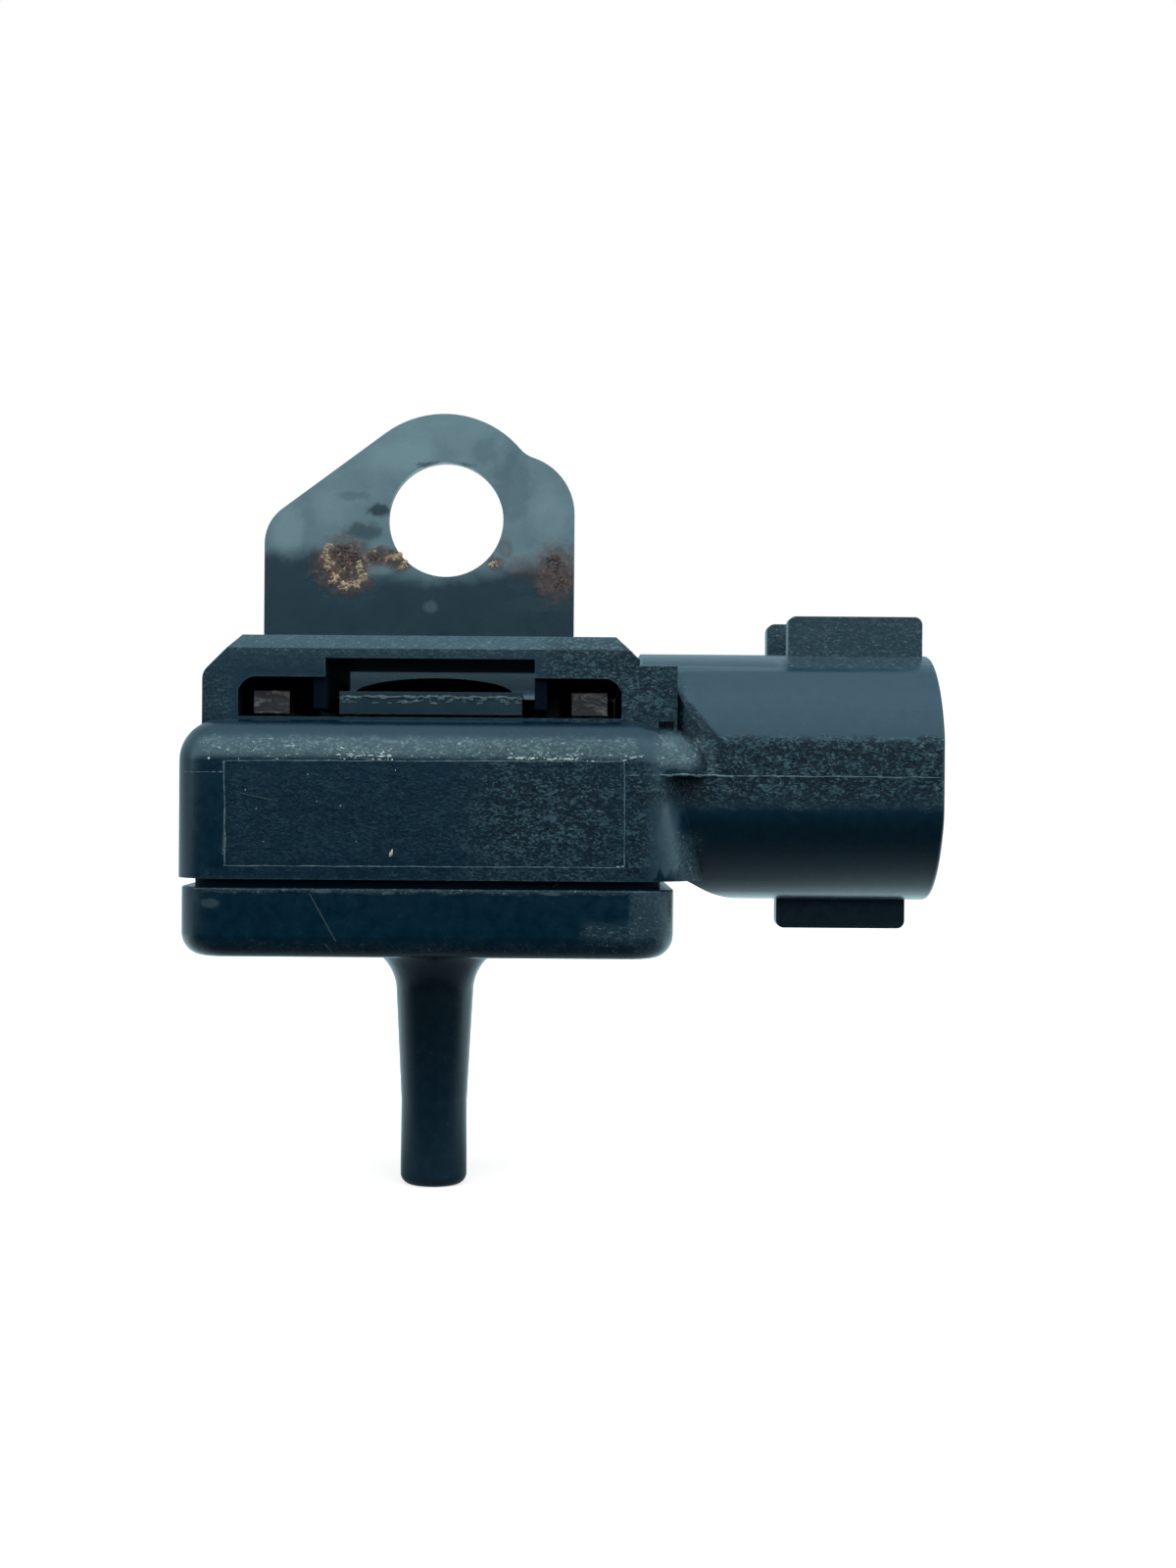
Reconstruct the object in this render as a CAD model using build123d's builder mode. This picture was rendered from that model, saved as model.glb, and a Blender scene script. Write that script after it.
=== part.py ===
from build123d import *
import os
from math import cos, radians, sin, tan

# Manifold absolute pressure sensor on a sheet-steel bracket.
# The origin is the centre of the bracket's bolt hole, on the front face of its upright.
# +Z is up and the hose nipple points down, the connector points along +X, and the front
# of the body looks along -Y. Sizes are in millimetres.

# Mounting bracket: one leg up with the bolt hole, one leg forward through the tunnel
sheet = 1.4
hole_d = 8.0
hole_to_leg = 12.75  # hole centre down to the upper face of the forward leg
eye_r = 6.93  # rounded top of the upright
eye_rise = 0.42  # centre of that rounding above the hole centre
eye_shift = -0.1  # and to the left of it
upright_left = 12.6
upright_right = 8.96
slope_angle = 36.6  # straight flank on the left of the eye
slope_corner_r = 3.0
shoulder_r = 4.15  # rounded shoulder on the right of the eye
shoulder_z = 0.38
eye_to_shoulder_r = 2.0
bend_r = 1.0  # inside radius of the fold

# Fork at the front of the forward leg
prong_w = 2.2
notch_w = 3.05
notch_round = 0.75
leg_side_clear = 0.85  # prong to the side wall of the tunnel
fork_web = 4.67  # leg left whole between its stop shoulder and the roots of the notches
grip_l = 4.0  # stretch at the back of the tunnel that holds the leg close
grip_clear = 0.1
fork_inset = 1.0  # the tips stay behind the mouth of the tunnel
latch_margin = 0.65  # tongue left beside the latch, a half round lanced from it and bent up
latch_angle = 14.0
latch_setback = 3.0  # tongue's front edge to the latch's fold
lance_gap = 0.3

# Body moulding
body_set_forward = 23.5  # front of the body to the front face of the upright
body_w = 30.15
body_depth = 26.0
body_corner = 3.0
housing_h = 9.55
body_top_round = 2.5
wall = 1.8
roof = 1.8
board_shelf = 1.15  # step inside the wall that the circuit board is bonded to
inner_corner = 1.2

# Bracket tunnel on top of the body
leg_play = 0.2  # forward leg above the tunnel floor
floor_pad = 0.24  # tunnel floor above the top of the body
tunnel_front = 4.0  # front of the body to the mouth of the tunnel
tunnel_back_gap = 1.9  # back of the block to the front face of the upright
block_inset = 1.15  # left side of the body to the block
block_overhang = 0.05  # block past the right side of the body
tunnel_wall = 2.2
block_h = 5.28
block_front_chamfer = 0.85
left_chamfer = 2.35
right_chamfer = 1.45
right_shoulder_w = 2.3
right_shoulder_drop = 1.8
block_round = 1.0
foot_notch_inset = 0.2  # small notch at the right foot of the block
foot_notch_w = 0.95
foot_notch_rise = 0.1
foot_notch_h = 0.75
foot_notch_depth = 1.2
wing_h = 2.44
wing_round = 1.1
dome_side_clear = 0.77  # tongue to the side of the raised channel
dome_h = 3.6
rail_w = 0.75  # guide rails that hang into the notches of the fork
rail_drop = 1.9
rail_end_clear = 0.6  # rails end before the roots of the notches

# Connector shroud
connector_reach = 16.28  # side of the body to the mouth of the socket
connector_root = 2.0  # shroud let into the body
connector_h = 15.52
connector_w = 20.0  # over the flats along the parting line
connector_flat = 0.4  # material lost to each flat
flat_round = 3.0  # where the flats meet the round of the shroud
neck_round = 2.5  # upper corners of the shroud beside the body, seen from above
neck_overlap = 0.1  # these corners start this far inside the body's side
connector_drop = 3.21  # connector axis below the top of the body
connector_wall = 1.7
socket_depth = 12.2
rim_round = 0.3
root_top_swell = 2.1
root_top_setback = 0.6
root_top_corner = 4.0
root_low_swell = 1.8
root_low_corner = 4.8
root_skin = 0.1  # the lower root starts this far inside the body's faces
root_round = 2.4
root_drop = 0.37
flare_inset = 0.5  # the underside starts to fall before the end of the root
flare_length = 3.3
flare_fall = 0.3  # share of the fall reached at the end of the root
rib_t = 1.5
rib_spread = 3.65
rib_setback = 0.56  # mouth of the socket to the front of the ribs
rib_l = 8.46
rib_h = 2.38
far_rib_l = 9.1  # the rib at the back is a little longer
rib_round = 0.5
keel_setback = 1.0
keel_l = 8.3
keel_h = 1.98
tooth_setback = 2.35
tooth_l = 3.8
tooth_flat = 0.9
tooth_h = 1.7
tooth_w = 4.6

# Base cover with the hose nipple
seam_h = 0.52
seam_depth = 1.0
cover_h = 4.2
cover_inset = 0.17  # the cover is this much smaller all round than the housing
cover_round = 1.4
cover_floor = 1.8
spigot_rise = 0.8
spigot_t = 1.2
spigot_clear = 0.1
nipple_l = 15.48
nipple_root_d = 5.0
nipple_tip_d = 4.28
hose_land = 5.5  # straight stretch at the tip that the hose grips
nipple_flare_r = 3.0
nipple_tip_round = 0.7
nipple_bore = 2.2
boss_d = 8.4
boss_rise = 0.6  # port boss above the cover's joint face
port_d = 5.0
port_depth = 3.6

# Terminals
pitch = 4.6
blade_t = 0.8
blade_w = 2.2
blade_reach = 8.2  # blade standing in the socket
blade_lead = 0.25
tail_w = 1.2
tail_inset = 1.5  # cavity wall to the middle of the tail
tail_below = 0.5
tail_bend = 0.4
tail_hole_clear = 0.12
solder_r = 1.15
solder_top_r = 0.78
solder_h = 0.7

# Circuit board and what it carries
board_rise = 2.2  # board's upper face above the housing's lower edge
board_t = 0.8
board_clear = 0.25
bead_t = 0.25
bead_w = 0.6
gel_t = 0.9
gel_clear = 0.1
chip_clear = 0.8  # clear board on each side of the amplifier
amplifier_l = 5.0
amplifier_h = 1.4
amplifier_stand = 0.1
amplifier_leg_w = 0.4
amplifier_leg_t = 0.2
amplifier_leg_reach = 0.8
amplifier_leg_pitch = 1.2
amplifier_legs = 4
capacitor_l = 2.0
capacitor_w = 1.25
capacitor_h = 0.9
resistor_l = 1.6
resistor_w = 0.8
resistor_h = 0.45
resistor_first = 5.2
resistor_pitch = 1.9

# Pressure cell
stem_d = 9.4
stem_t = 1.2
cap_d = 7.6
cap_gap = 0.78  # cap to the roof of the cavity
cap_t = 0.3
pipe_d = 2.4
pipe_bore = 1.4
pipe_into_port = 2.4
lead_d = 0.45
lead_circle = 2.75
lead_count = 4
lead_above = 0.6
lead_below = 0.6
lead_hole_d = 0.75
bead_glass_d = 1.1
pedestal_w = 2.8
pedestal_h = 1.4
pedestal_bore = 0.8
chip_h = 0.4
diaphragm_w = 1.4
diaphragm_t = 0.05
seal_h = 1.8
seal_inset = 0.3
filter_t = 0.9

through = 1.0  # cuts run this far past the faces they open

# Levels, from the bolt hole down
leg_top = -hole_to_leg
leg_bottom = leg_top - sheet
tunnel_floor = leg_bottom - leg_play
body_top = tunnel_floor - floor_pad
block_top = body_top + block_h
housing_bottom = body_top - housing_h
cavity_roof = body_top - roof
cover_top = housing_bottom - seam_h
cover_bottom = cover_top - cover_h
nipple_tip = cover_bottom - nipple_l
connector_z = body_top - connector_drop
connector_top = connector_z + connector_h / 2
connector_bottom = connector_z - connector_h / 2
board_top = housing_bottom + board_rise
board_bottom = board_top - board_t
shelf_z = board_top + bead_t
stem_top = board_top + stem_t
boss_top = cover_top + boss_rise
port_floor = boss_top - port_depth

# Places across and along the body
front_y = -body_set_forward
middle_y = front_y + body_depth / 2
block_front_y = front_y + tunnel_front
block_back_y = -tunnel_back_gap
tunnel_length = block_back_y - block_front_y
fork_tip_y = block_front_y + fork_inset
stop_y = block_back_y + lance_gap / 2
fork_depth = stop_y - fork_web - fork_tip_y
rail_length = fork_depth - rail_end_clear
body_right = body_w / 2
block_left = body_right - block_inset
block_right = body_right + block_overhang
wing_half = block_left - tunnel_wall
web_half = wing_half - grip_clear
grip_start_y = block_back_y - grip_l
prong_outer = wing_half - leg_side_clear
prong_inner = prong_outer - prong_w
tongue_half = prong_inner - notch_w
latch_half = tongue_half - latch_margin
dome_half = tongue_half + dome_side_clear
connector_start = body_right - connector_root
connector_end = body_right + connector_reach
root_top_reach = body_right + root_top_swell
root_low_reach = body_right + root_low_swell
cover_w = body_w - 2 * cover_inset
cover_depth = body_depth - 2 * cover_inset
rib_front = connector_end - rib_setback
keel_front = connector_end - keel_setback
tooth_front = connector_end - tooth_setback
tooth_back = tooth_front - tooth_l
cavity_x = body_w / 2 - wall
cavity_y = body_depth / 2 - wall
shelf_x = cavity_x - board_shelf
shelf_y = cavity_y - board_shelf
socket_floor = connector_end - socket_depth
tail_x = shelf_x - tail_inset
chip_x = -(shelf_x + stem_d / 2) / 2
amplifier_w = shelf_x - stem_d / 2 - 2 * (amplifier_leg_reach + chip_clear)
capacitor_x = (stem_d / 2 + tail_x - solder_r) / 2
cap_h = cavity_roof - cap_gap - stem_top
terminal_ys = [middle_y - pitch, middle_y, middle_y + pitch]
terminal_names = ["terminal_supply", "terminal_signal", "terminal_ground"]


def front_plane(y):
    """Upright plane at this y: its x is the model's X, its y is the model's Z, it faces the front."""
    return Plane(origin=(0, y, 0), x_dir=(1, 0, 0), z_dir=(0, -1, 0))


def finish(piece, name):
    """Labels a finished piece and writes it."""
    piece.label = name
    export_step(piece, f"parts/{name}.step")


os.makedirs("parts", exist_ok=True)

# Mounting bracket
eye_centre = (eye_shift, eye_rise)
flank_top = (
    eye_shift - eye_r * sin(radians(slope_angle)),
    eye_rise + eye_r * cos(radians(slope_angle)),
)
flank_foot_z = flank_top[1] - (upright_left + flank_top[0]) * tan(radians(slope_angle))
shoulder_x = upright_right - shoulder_r
bend_top = leg_top + bend_r

with BuildPart() as mounting_bracket:
    # upright with its eye, straight flank, shoulder and bolt hole
    with BuildSketch(front_plane(0)) as upright:
        with BuildLine():
            Polyline(
                (-upright_left, bend_top),
                (-upright_left, flank_foot_z),
                flank_top,
                eye_centre,
                (shoulder_x, shoulder_z),
                (upright_right, shoulder_z),
                (upright_right, bend_top),
                close=True,
            )
        make_face()
        with Locations(eye_centre):
            Circle(eye_r)
        with Locations((shoulder_x, shoulder_z)):
            Circle(shoulder_r)
        flank_corner = upright.vertices().sort_by_distance((-upright_left, flank_foot_z))[0]
        fillet(flank_corner, slope_corner_r)
        eye_to_shoulder = upright.vertices().sort_by_distance((upright_right, eye_r))[0]
        fillet(eye_to_shoulder, eye_to_shoulder_r)
        Circle(hole_d / 2, mode=Mode.SUBTRACT)
    extrude(amount=-sheet)

    # fold between the upright and the forward leg
    with BuildSketch(Plane.YZ.offset(-upright_left)) as fold:
        with Locations((-bend_r, bend_top)):
            Circle(bend_r + sheet)
            Circle(bend_r, mode=Mode.SUBTRACT)
        quarter = bend_r + sheet
        with Locations((-bend_r, bend_top)):
            Rectangle(quarter, quarter, align=(Align.MIN, Align.MAX), mode=Mode.INTERSECT)
    extrude(amount=upright_left + upright_right)

    # forward leg: stop shoulder behind the tunnel, a web that fills it, two prongs and the tongue
    with BuildSketch(Plane.XY.offset(leg_bottom)) as leg:
        with BuildLine():
            Polyline(
                (-upright_left, -bend_r),
                (-upright_left, stop_y),
                (-web_half, stop_y),
                (-web_half, grip_start_y),
                (-prong_outer, grip_start_y),
                (-prong_outer, fork_tip_y),
                (prong_outer, fork_tip_y),
                (prong_outer, grip_start_y),
                (web_half, grip_start_y),
                (web_half, stop_y),
                (upright_right, stop_y),
                (upright_right, -bend_r),
                close=True,
            )
        make_face()
        notch_x = (prong_inner + tongue_half) / 2
        with Locations((-notch_x, fork_tip_y), (notch_x, fork_tip_y)):
            Rectangle(notch_w, fork_depth, align=(Align.CENTER, Align.MIN), mode=Mode.SUBTRACT)
        notch_roots = leg.vertices().filter_by_position(
            Axis.Y, fork_tip_y + fork_depth - lance_gap, fork_tip_y + fork_depth + lance_gap
        )
        fillet(notch_roots, notch_round)
        # opening that the latch was lanced from
        with BuildLine():
            lance_y = fork_tip_y + latch_setback + sheet * sin(radians(latch_angle))
            lance_half = latch_half + lance_gap
            Line((-lance_half, lance_y), (lance_half, lance_y))
            ThreePointArc(
                (lance_half, lance_y),
                (0, fork_tip_y + latch_setback + latch_half + lance_gap),
                (-lance_half, lance_y),
            )
        make_face(mode=Mode.SUBTRACT)
    extrude(amount=sheet)

    # latch, hinged at the front of that opening
    lift = radians(latch_angle)
    latch_plane = Plane(
        origin=(0, fork_tip_y + latch_setback, leg_top),
        x_dir=(1, 0, 0),
        z_dir=(0, -sin(lift), cos(lift)),
    )
    with BuildSketch(latch_plane) as latch:
        with BuildLine():
            Line((-latch_half, 0), (latch_half, 0))
            ThreePointArc((latch_half, 0), (0, latch_half), (-latch_half, 0))
        make_face()
    extrude(amount=-sheet)
finish(mounting_bracket.part, "mounting_bracket")

# Root of the connector: above the parting plane the body's corner swells out to a rounded lump,
# below it the corner widens gradually down to the lower edge
parting_z = connector_z
with BuildPart() as root_swell:
    with BuildSketch(Plane.XY.offset(parting_z)) as root_top_plan:
        with Locations((root_top_reach / 2, middle_y)):
            RectangleRounded(root_top_reach, body_depth - 2 * root_top_setback, root_top_corner)
    extrude(amount=body_top - root_drop - parting_z)
    fillet(root_swell.faces().sort_by(Axis.Z)[-1].edges(), root_round)
    root_depth = body_depth - 2 * root_skin
    root_neck_reach = body_right - root_skin
    with BuildSketch(Plane.XY.offset(parting_z)) as root_neck_plan:
        with Locations((root_neck_reach / 2, middle_y)):
            RectangleRounded(root_neck_reach, root_depth, body_corner)
    with BuildSketch(Plane.XY.offset(housing_bottom)) as root_low_plan:
        with Locations((root_low_reach / 2, middle_y)):
            RectangleRounded(root_low_reach, root_depth, root_low_corner)
    loft([root_neck_plan.sketch, root_low_plan.sketch])

# Connector shroud before its socket is opened
with BuildPart() as shroud:
    with BuildSketch(Plane.YZ.offset(connector_start)) as shroud_section:
        with Locations((middle_y, connector_z)):
            SlotOverall(connector_w + 2 * connector_flat, connector_h)
            Rectangle(connector_w, connector_h, mode=Mode.INTERSECT)
        across = shroud_section.vertices().group_by(Axis.X)
        fillet(across[0] + across[-1], flat_round)
    extrude(amount=connector_end - connector_start)
    fillet(shroud.faces().sort_by(Axis.X)[-1].edges(), rim_round)
    # above the parting plane its corners beside the body are rounded
    with BuildSketch(Plane.XY.offset(parting_z)) as neck_corners:
        round_x = body_right - neck_overlap + neck_round
        for side in (-1, 1):
            corner_align = (Align.MIN, Align.MAX if side > 0 else Align.MIN)
            flat_y = middle_y + side * connector_w / 2
            with Locations((connector_start, flat_y)):
                Rectangle(round_x - connector_start, neck_round, align=corner_align)
        for side in (-1, 1):
            round_y = middle_y + side * (connector_w / 2 - neck_round)
            with Locations((round_x, round_y)):
                Circle(neck_round, mode=Mode.SUBTRACT)
    extrude(amount=connector_h / 2, mode=Mode.SUBTRACT)
    # the underside flares down from the body's lower edge
    with BuildSketch(front_plane(middle_y)) as underside:
        with BuildLine():
            flare_start = root_low_reach - flare_inset
            flare_end = flare_start + flare_length
            neck = Line((connector_start, housing_bottom), (body_right, housing_bottom))
            flare = Spline(
                neck @ 1,
                (flare_start, housing_bottom - flare_fall * (housing_bottom - connector_bottom)),
                (flare_end, connector_bottom),
                tangents=((1, 0), (1, 0)),
            )
            Polyline(
                flare @ 1,
                (flare_end, connector_bottom - wall),
                (connector_start, connector_bottom - wall),
                neck @ 0,
            )
        make_face()
    extrude(amount=connector_w, both=True, mode=Mode.SUBTRACT)

    # two guide ribs on top and the keel below
    for rib_y, length in ((middle_y - rib_spread, rib_l), (middle_y + rib_spread, far_rib_l)):
        with BuildSketch(front_plane(rib_y - rib_t / 2)) as rib:
            with Locations((rib_front, connector_top + rib_h)):
                rib_depth = rib_h + connector_wall / 2 + rib_round
                Rectangle(length, rib_depth, align=(Align.MAX, Align.MAX))
            fillet(rib.vertices().group_by(Axis.Y)[-1], rib_round)
        extrude(amount=-rib_t)
    with BuildSketch(front_plane(middle_y - rib_t / 2)) as keel:
        with Locations((keel_front, connector_bottom - keel_h)):
            Rectangle(keel_l, keel_h + connector_wall / 2, align=(Align.MAX, Align.MIN))
        fillet(keel.vertices().group_by(Axis.Y)[0], rib_round)
    extrude(amount=-rib_t)
    # lock tooth between the ribs, ramped towards the mouth
    with BuildSketch(front_plane(middle_y - tooth_w / 2)) as tooth:
        with BuildLine():
            Polyline(
                (tooth_back, connector_top - connector_wall / 2),
                (tooth_back, connector_top + tooth_h),
                (tooth_back + tooth_flat, connector_top + tooth_h),
                (tooth_front, connector_top),
                (tooth_front, connector_top - connector_wall / 2),
                close=True,
            )
        make_face()
    extrude(amount=-tooth_w)

# Bracket tunnel block
with BuildPart() as tunnel_block:
    with BuildSketch(front_plane(block_front_y)) as block_face:
        shoulder_top = block_top - right_shoulder_drop
        ramp_x = block_right - right_shoulder_w
        with BuildLine():
            Polyline(
                (-block_left, body_top - wall / 2),
                (-block_left, block_top - left_chamfer),
                (-block_left + left_chamfer, block_top),
                (ramp_x - right_chamfer, block_top),
                (ramp_x, block_top - right_chamfer),
                (ramp_x, shoulder_top),
                (block_right, shoulder_top),
                (block_right, body_top - wall / 2),
                close=True,
            )
        make_face()
        chamfer_foot = (-block_left, block_top - left_chamfer)
        fillet(block_face.vertices().sort_by_distance(chamfer_foot)[0], block_round)
    extrude(amount=-tunnel_length)
    top_edges = tunnel_block.edges().filter_by(Axis.X).group_by(Axis.Z)[-1]
    chamfer(top_edges.sort_by(Axis.Y)[0], block_front_chamfer)

# Sensor housing: body, connector and tunnel in one moulding
with BuildPart() as sensor_housing:
    with BuildSketch(Plane.XY.offset(housing_bottom)) as body_plan:
        with Locations((0, middle_y)):
            RectangleRounded(body_w, body_depth, body_corner)
    extrude(amount=housing_h)
    fillet(sensor_housing.faces().sort_by(Axis.Z)[-1].edges(), body_top_round)
    add(root_swell.part)
    add(shroud.part)
    add(tunnel_block.part)

    # tunnel for the forward leg: two flat wings, low at the back, and a raised channel for the latch
    with BuildSketch(front_plane(block_front_y - through)) as wings:
        with Locations((0, tunnel_floor)):
            Rectangle(2 * wing_half, wing_h, align=(Align.CENTER, Align.MIN))
        fillet(wings.vertices().group_by(Axis.Y)[-1], wing_round)
    extrude(amount=-(tunnel_length + through - grip_l), mode=Mode.SUBTRACT)
    with BuildSketch(front_plane(block_front_y - through)) as channel:
        with Locations((0, tunnel_floor)):
            Rectangle(2 * dome_half, dome_h, align=(Align.CENTER, Align.MIN))
            grip_h = leg_play + sheet + grip_clear
            Rectangle(2 * wing_half, grip_h, align=(Align.CENTER, Align.MIN))
    extrude(amount=-(tunnel_length + 2 * through), mode=Mode.SUBTRACT)

    # small notch at the right foot of the block
    with BuildSketch(front_plane(block_front_y)) as foot_notch:
        with Locations((block_right - foot_notch_inset, body_top + foot_notch_rise)):
            Rectangle(foot_notch_w, foot_notch_h, align=(Align.MAX, Align.MAX))
    extrude(amount=-foot_notch_depth, mode=Mode.SUBTRACT)

    # guide rails in the notches of the fork
    for side in (-1, 1):
        with BuildSketch(front_plane(block_front_y + rim_round)) as rail:
            with Locations((side * (dome_half + rail_w / 2), tunnel_floor + wing_h + rim_round)):
                Rectangle(rail_w, rail_drop + rim_round, align=(Align.CENTER, Align.MAX))
        extrude(amount=-rail_length)

    # socket for the plug
    with BuildSketch(Plane.YZ.offset(socket_floor)) as socket:
        with Locations((middle_y, connector_z)):
            SlotOverall(connector_w - 2 * connector_wall, connector_h - 2 * connector_wall)
    extrude(amount=socket_depth, mode=Mode.SUBTRACT)

    # cavity for the circuit board, stepped where the board is bonded
    with BuildSketch(Plane.XY.offset(housing_bottom)) as cavity_low:
        with Locations((0, middle_y)):
            RectangleRounded(2 * cavity_x, 2 * cavity_y, inner_corner)
    extrude(amount=shelf_z - housing_bottom, mode=Mode.SUBTRACT)
    with BuildSketch(Plane.XY.offset(shelf_z)) as cavity_high:
        with Locations((0, middle_y)):
            RectangleRounded(2 * shelf_x, 2 * shelf_y, inner_corner)
    extrude(amount=cavity_roof - shelf_z, mode=Mode.SUBTRACT)

    # the moulding closes round the three blades
    with BuildSketch(Plane.YZ.offset(shelf_x)) as blade_slots:
        with Locations(*[(y, connector_z) for y in terminal_ys]):
            Rectangle(blade_w, blade_t)
    extrude(amount=socket_floor - shelf_x, mode=Mode.SUBTRACT)
finish(sensor_housing.part, "sensor_housing")

# Base cover with spigot, port boss and hose nipple
with BuildPart() as base_cover:
    with BuildSketch(Plane.XY.offset(cover_bottom)) as cover_plan:
        with Locations((0, middle_y)):
            RectangleRounded(cover_w, cover_depth, body_corner)
    extrude(amount=cover_h)
    fillet(base_cover.faces().sort_by(Axis.Z)[0].edges(), cover_round)
    spigot_x = cavity_x - spigot_clear
    spigot_y = cavity_y - spigot_clear
    with BuildSketch(Plane.XY.offset(cover_top)) as spigot:
        with Locations((0, middle_y)):
            RectangleRounded(2 * spigot_x, 2 * spigot_y, inner_corner)
    extrude(amount=seam_h + spigot_rise)
    with BuildSketch(Plane.XY.offset(cover_bottom + cover_floor)) as cover_well:
        with Locations((0, middle_y)):
            RectangleRounded(2 * (spigot_x - spigot_t), 2 * (spigot_y - spigot_t), inner_corner)
    extrude(amount=cover_h + seam_h + spigot_rise, mode=Mode.SUBTRACT)
    with BuildSketch(Plane.XY.offset(cover_bottom + cover_floor)) as boss:
        with Locations((0, middle_y)):
            Circle(boss_d / 2)
    extrude(amount=boss_top - cover_bottom - cover_floor)
    # nipple: concave flare at its root, slight taper, rounded tip
    with BuildSketch(front_plane(middle_y)) as nipple:
        root_r = nipple_root_d / 2
        tip_r = nipple_tip_d / 2
        flare_mid = nipple_flare_r * (1 - cos(radians(45)))
        with BuildLine():
            Line((0, cover_bottom), (root_r + nipple_flare_r, cover_bottom))
            ThreePointArc(
                (root_r + nipple_flare_r, cover_bottom),
                (root_r + flare_mid, cover_bottom - flare_mid),
                (root_r, cover_bottom - nipple_flare_r),
            )
            Polyline(
                (root_r, cover_bottom - nipple_flare_r),
                (tip_r, nipple_tip + hose_land),
                (tip_r, nipple_tip),
                (0, nipple_tip),
                (0, cover_bottom),
            )
        make_face()
        fillet(nipple.vertices().sort_by_distance((tip_r, nipple_tip))[0], nipple_tip_round)
    revolve(axis=Axis((0, middle_y, 0), (0, 0, 1)))
    with BuildSketch(Plane.XY.offset(port_floor)) as port:
        with Locations((0, middle_y)):
            Circle(port_d / 2)
    extrude(amount=port_depth, mode=Mode.SUBTRACT)
    with BuildSketch(Plane.XY.offset(nipple_tip)) as bore:
        with Locations((0, middle_y)):
            Circle(nipple_bore / 2)
    extrude(amount=port_floor - nipple_tip, mode=Mode.SUBTRACT)
finish(base_cover.part, "base_cover")

# Seam sealant between the cover and the housing, set back to leave the open groove
with BuildPart() as seam_sealant:
    with BuildSketch(Plane.XY.offset(cover_top)) as sealant_ring:
        with Locations((0, middle_y)):
            sealant_w = body_w - 2 * seam_depth
            sealant_d = body_depth - 2 * seam_depth
            RectangleRounded(sealant_w, sealant_d, body_corner - seam_depth)
            RectangleRounded(2 * spigot_x, 2 * spigot_y, inner_corner, mode=Mode.SUBTRACT)
    extrude(amount=seam_h)
finish(seam_sealant.part, "seam_sealant")

# Terminals: blade in the socket, straight through the wall, tail bent down to the board
tail_foot = board_bottom - tail_below
blade_tip = socket_floor + blade_reach
tail_cuts = []
for name, y in zip(terminal_names, terminal_ys):
    with BuildPart() as terminal:
        with BuildSketch(front_plane(y - tail_w / 2)) as tail:
            half = blade_t / 2
            with BuildLine():
                Polyline(
                    (shelf_x + half, connector_z + half),
                    (tail_x - half, connector_z + half),
                    (tail_x - half, tail_foot),
                    (tail_x + half, tail_foot),
                    (tail_x + half, connector_z - half),
                    (shelf_x + half, connector_z - half),
                    close=True,
                )
            make_face()
            outer_bend = (tail_x - half, connector_z + half)
            fillet(tail.vertices().sort_by_distance(outer_bend)[0], tail_bend + blade_t)
            inner_bend = (tail_x + half, connector_z - half)
            fillet(tail.vertices().sort_by_distance(inner_bend)[0], tail_bend)
        extrude(amount=-tail_w)
        with BuildSketch(Plane.YZ.offset(shelf_x)) as blade:
            with Locations((y, connector_z)):
                Rectangle(blade_w, blade_t)
        extrude(amount=blade_tip - shelf_x)
        chamfer(terminal.faces().sort_by(Axis.X)[-1].edges(), blade_lead)
    finish(terminal.part, name)
    tail_cuts.append(terminal.part)

# Solder round the three tails
with BuildPart() as terminal_solder:
    for y in terminal_ys:
        with BuildSketch(Plane.XY.offset(board_top)) as solder_foot:
            with Locations((tail_x, y)):
                Circle(solder_r)
        with BuildSketch(Plane.XY.offset(board_top + solder_h)) as solder_crown:
            with Locations((tail_x, y)):
                Circle(solder_top_r)
        loft([solder_foot.sketch, solder_crown.sketch])
    for terminal_solid in tail_cuts:
        add(terminal_solid, mode=Mode.SUBTRACT)
finish(terminal_solder.part, "terminal_solder")

# Circuit board with its holes
lead_angles = [360 / lead_count * number for number in range(lead_count)]
lead_places = [
    (lead_circle * cos(radians(a)), middle_y + lead_circle * sin(radians(a))) for a in lead_angles
]
board_x = cavity_x - board_clear
board_y = cavity_y - board_clear
with BuildPart() as circuit_board:
    with BuildSketch(Plane.XY.offset(board_bottom)) as board_plan:
        with Locations((0, middle_y)):
            RectangleRounded(2 * board_x, 2 * board_y, inner_corner - board_clear)
            Circle(pipe_d / 2 + tail_hole_clear, mode=Mode.SUBTRACT)
        with Locations(*lead_places):
            Circle(lead_hole_d / 2, mode=Mode.SUBTRACT)
        with Locations(*[(tail_x, y) for y in terminal_ys]):
            hole_x = blade_t + 2 * tail_hole_clear
            Rectangle(hole_x, tail_w + 2 * tail_hole_clear, mode=Mode.SUBTRACT)
    extrude(amount=board_t)
finish(circuit_board.part, "circuit_board")

# Adhesive bead between the board and the step in the housing
with BuildPart() as board_adhesive:
    with BuildSketch(Plane.XY.offset(board_top)) as adhesive_ring:
        with Locations((0, middle_y)):
            inner_x = shelf_x + gel_clear
            inner_y = shelf_y + gel_clear
            RectangleRounded(2 * (inner_x + bead_w), 2 * (inner_y + bead_w), inner_corner)
            RectangleRounded(2 * inner_x, 2 * inner_y, inner_corner, mode=Mode.SUBTRACT)
    extrude(amount=bead_t)
finish(board_adhesive.part, "board_adhesive")

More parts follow.
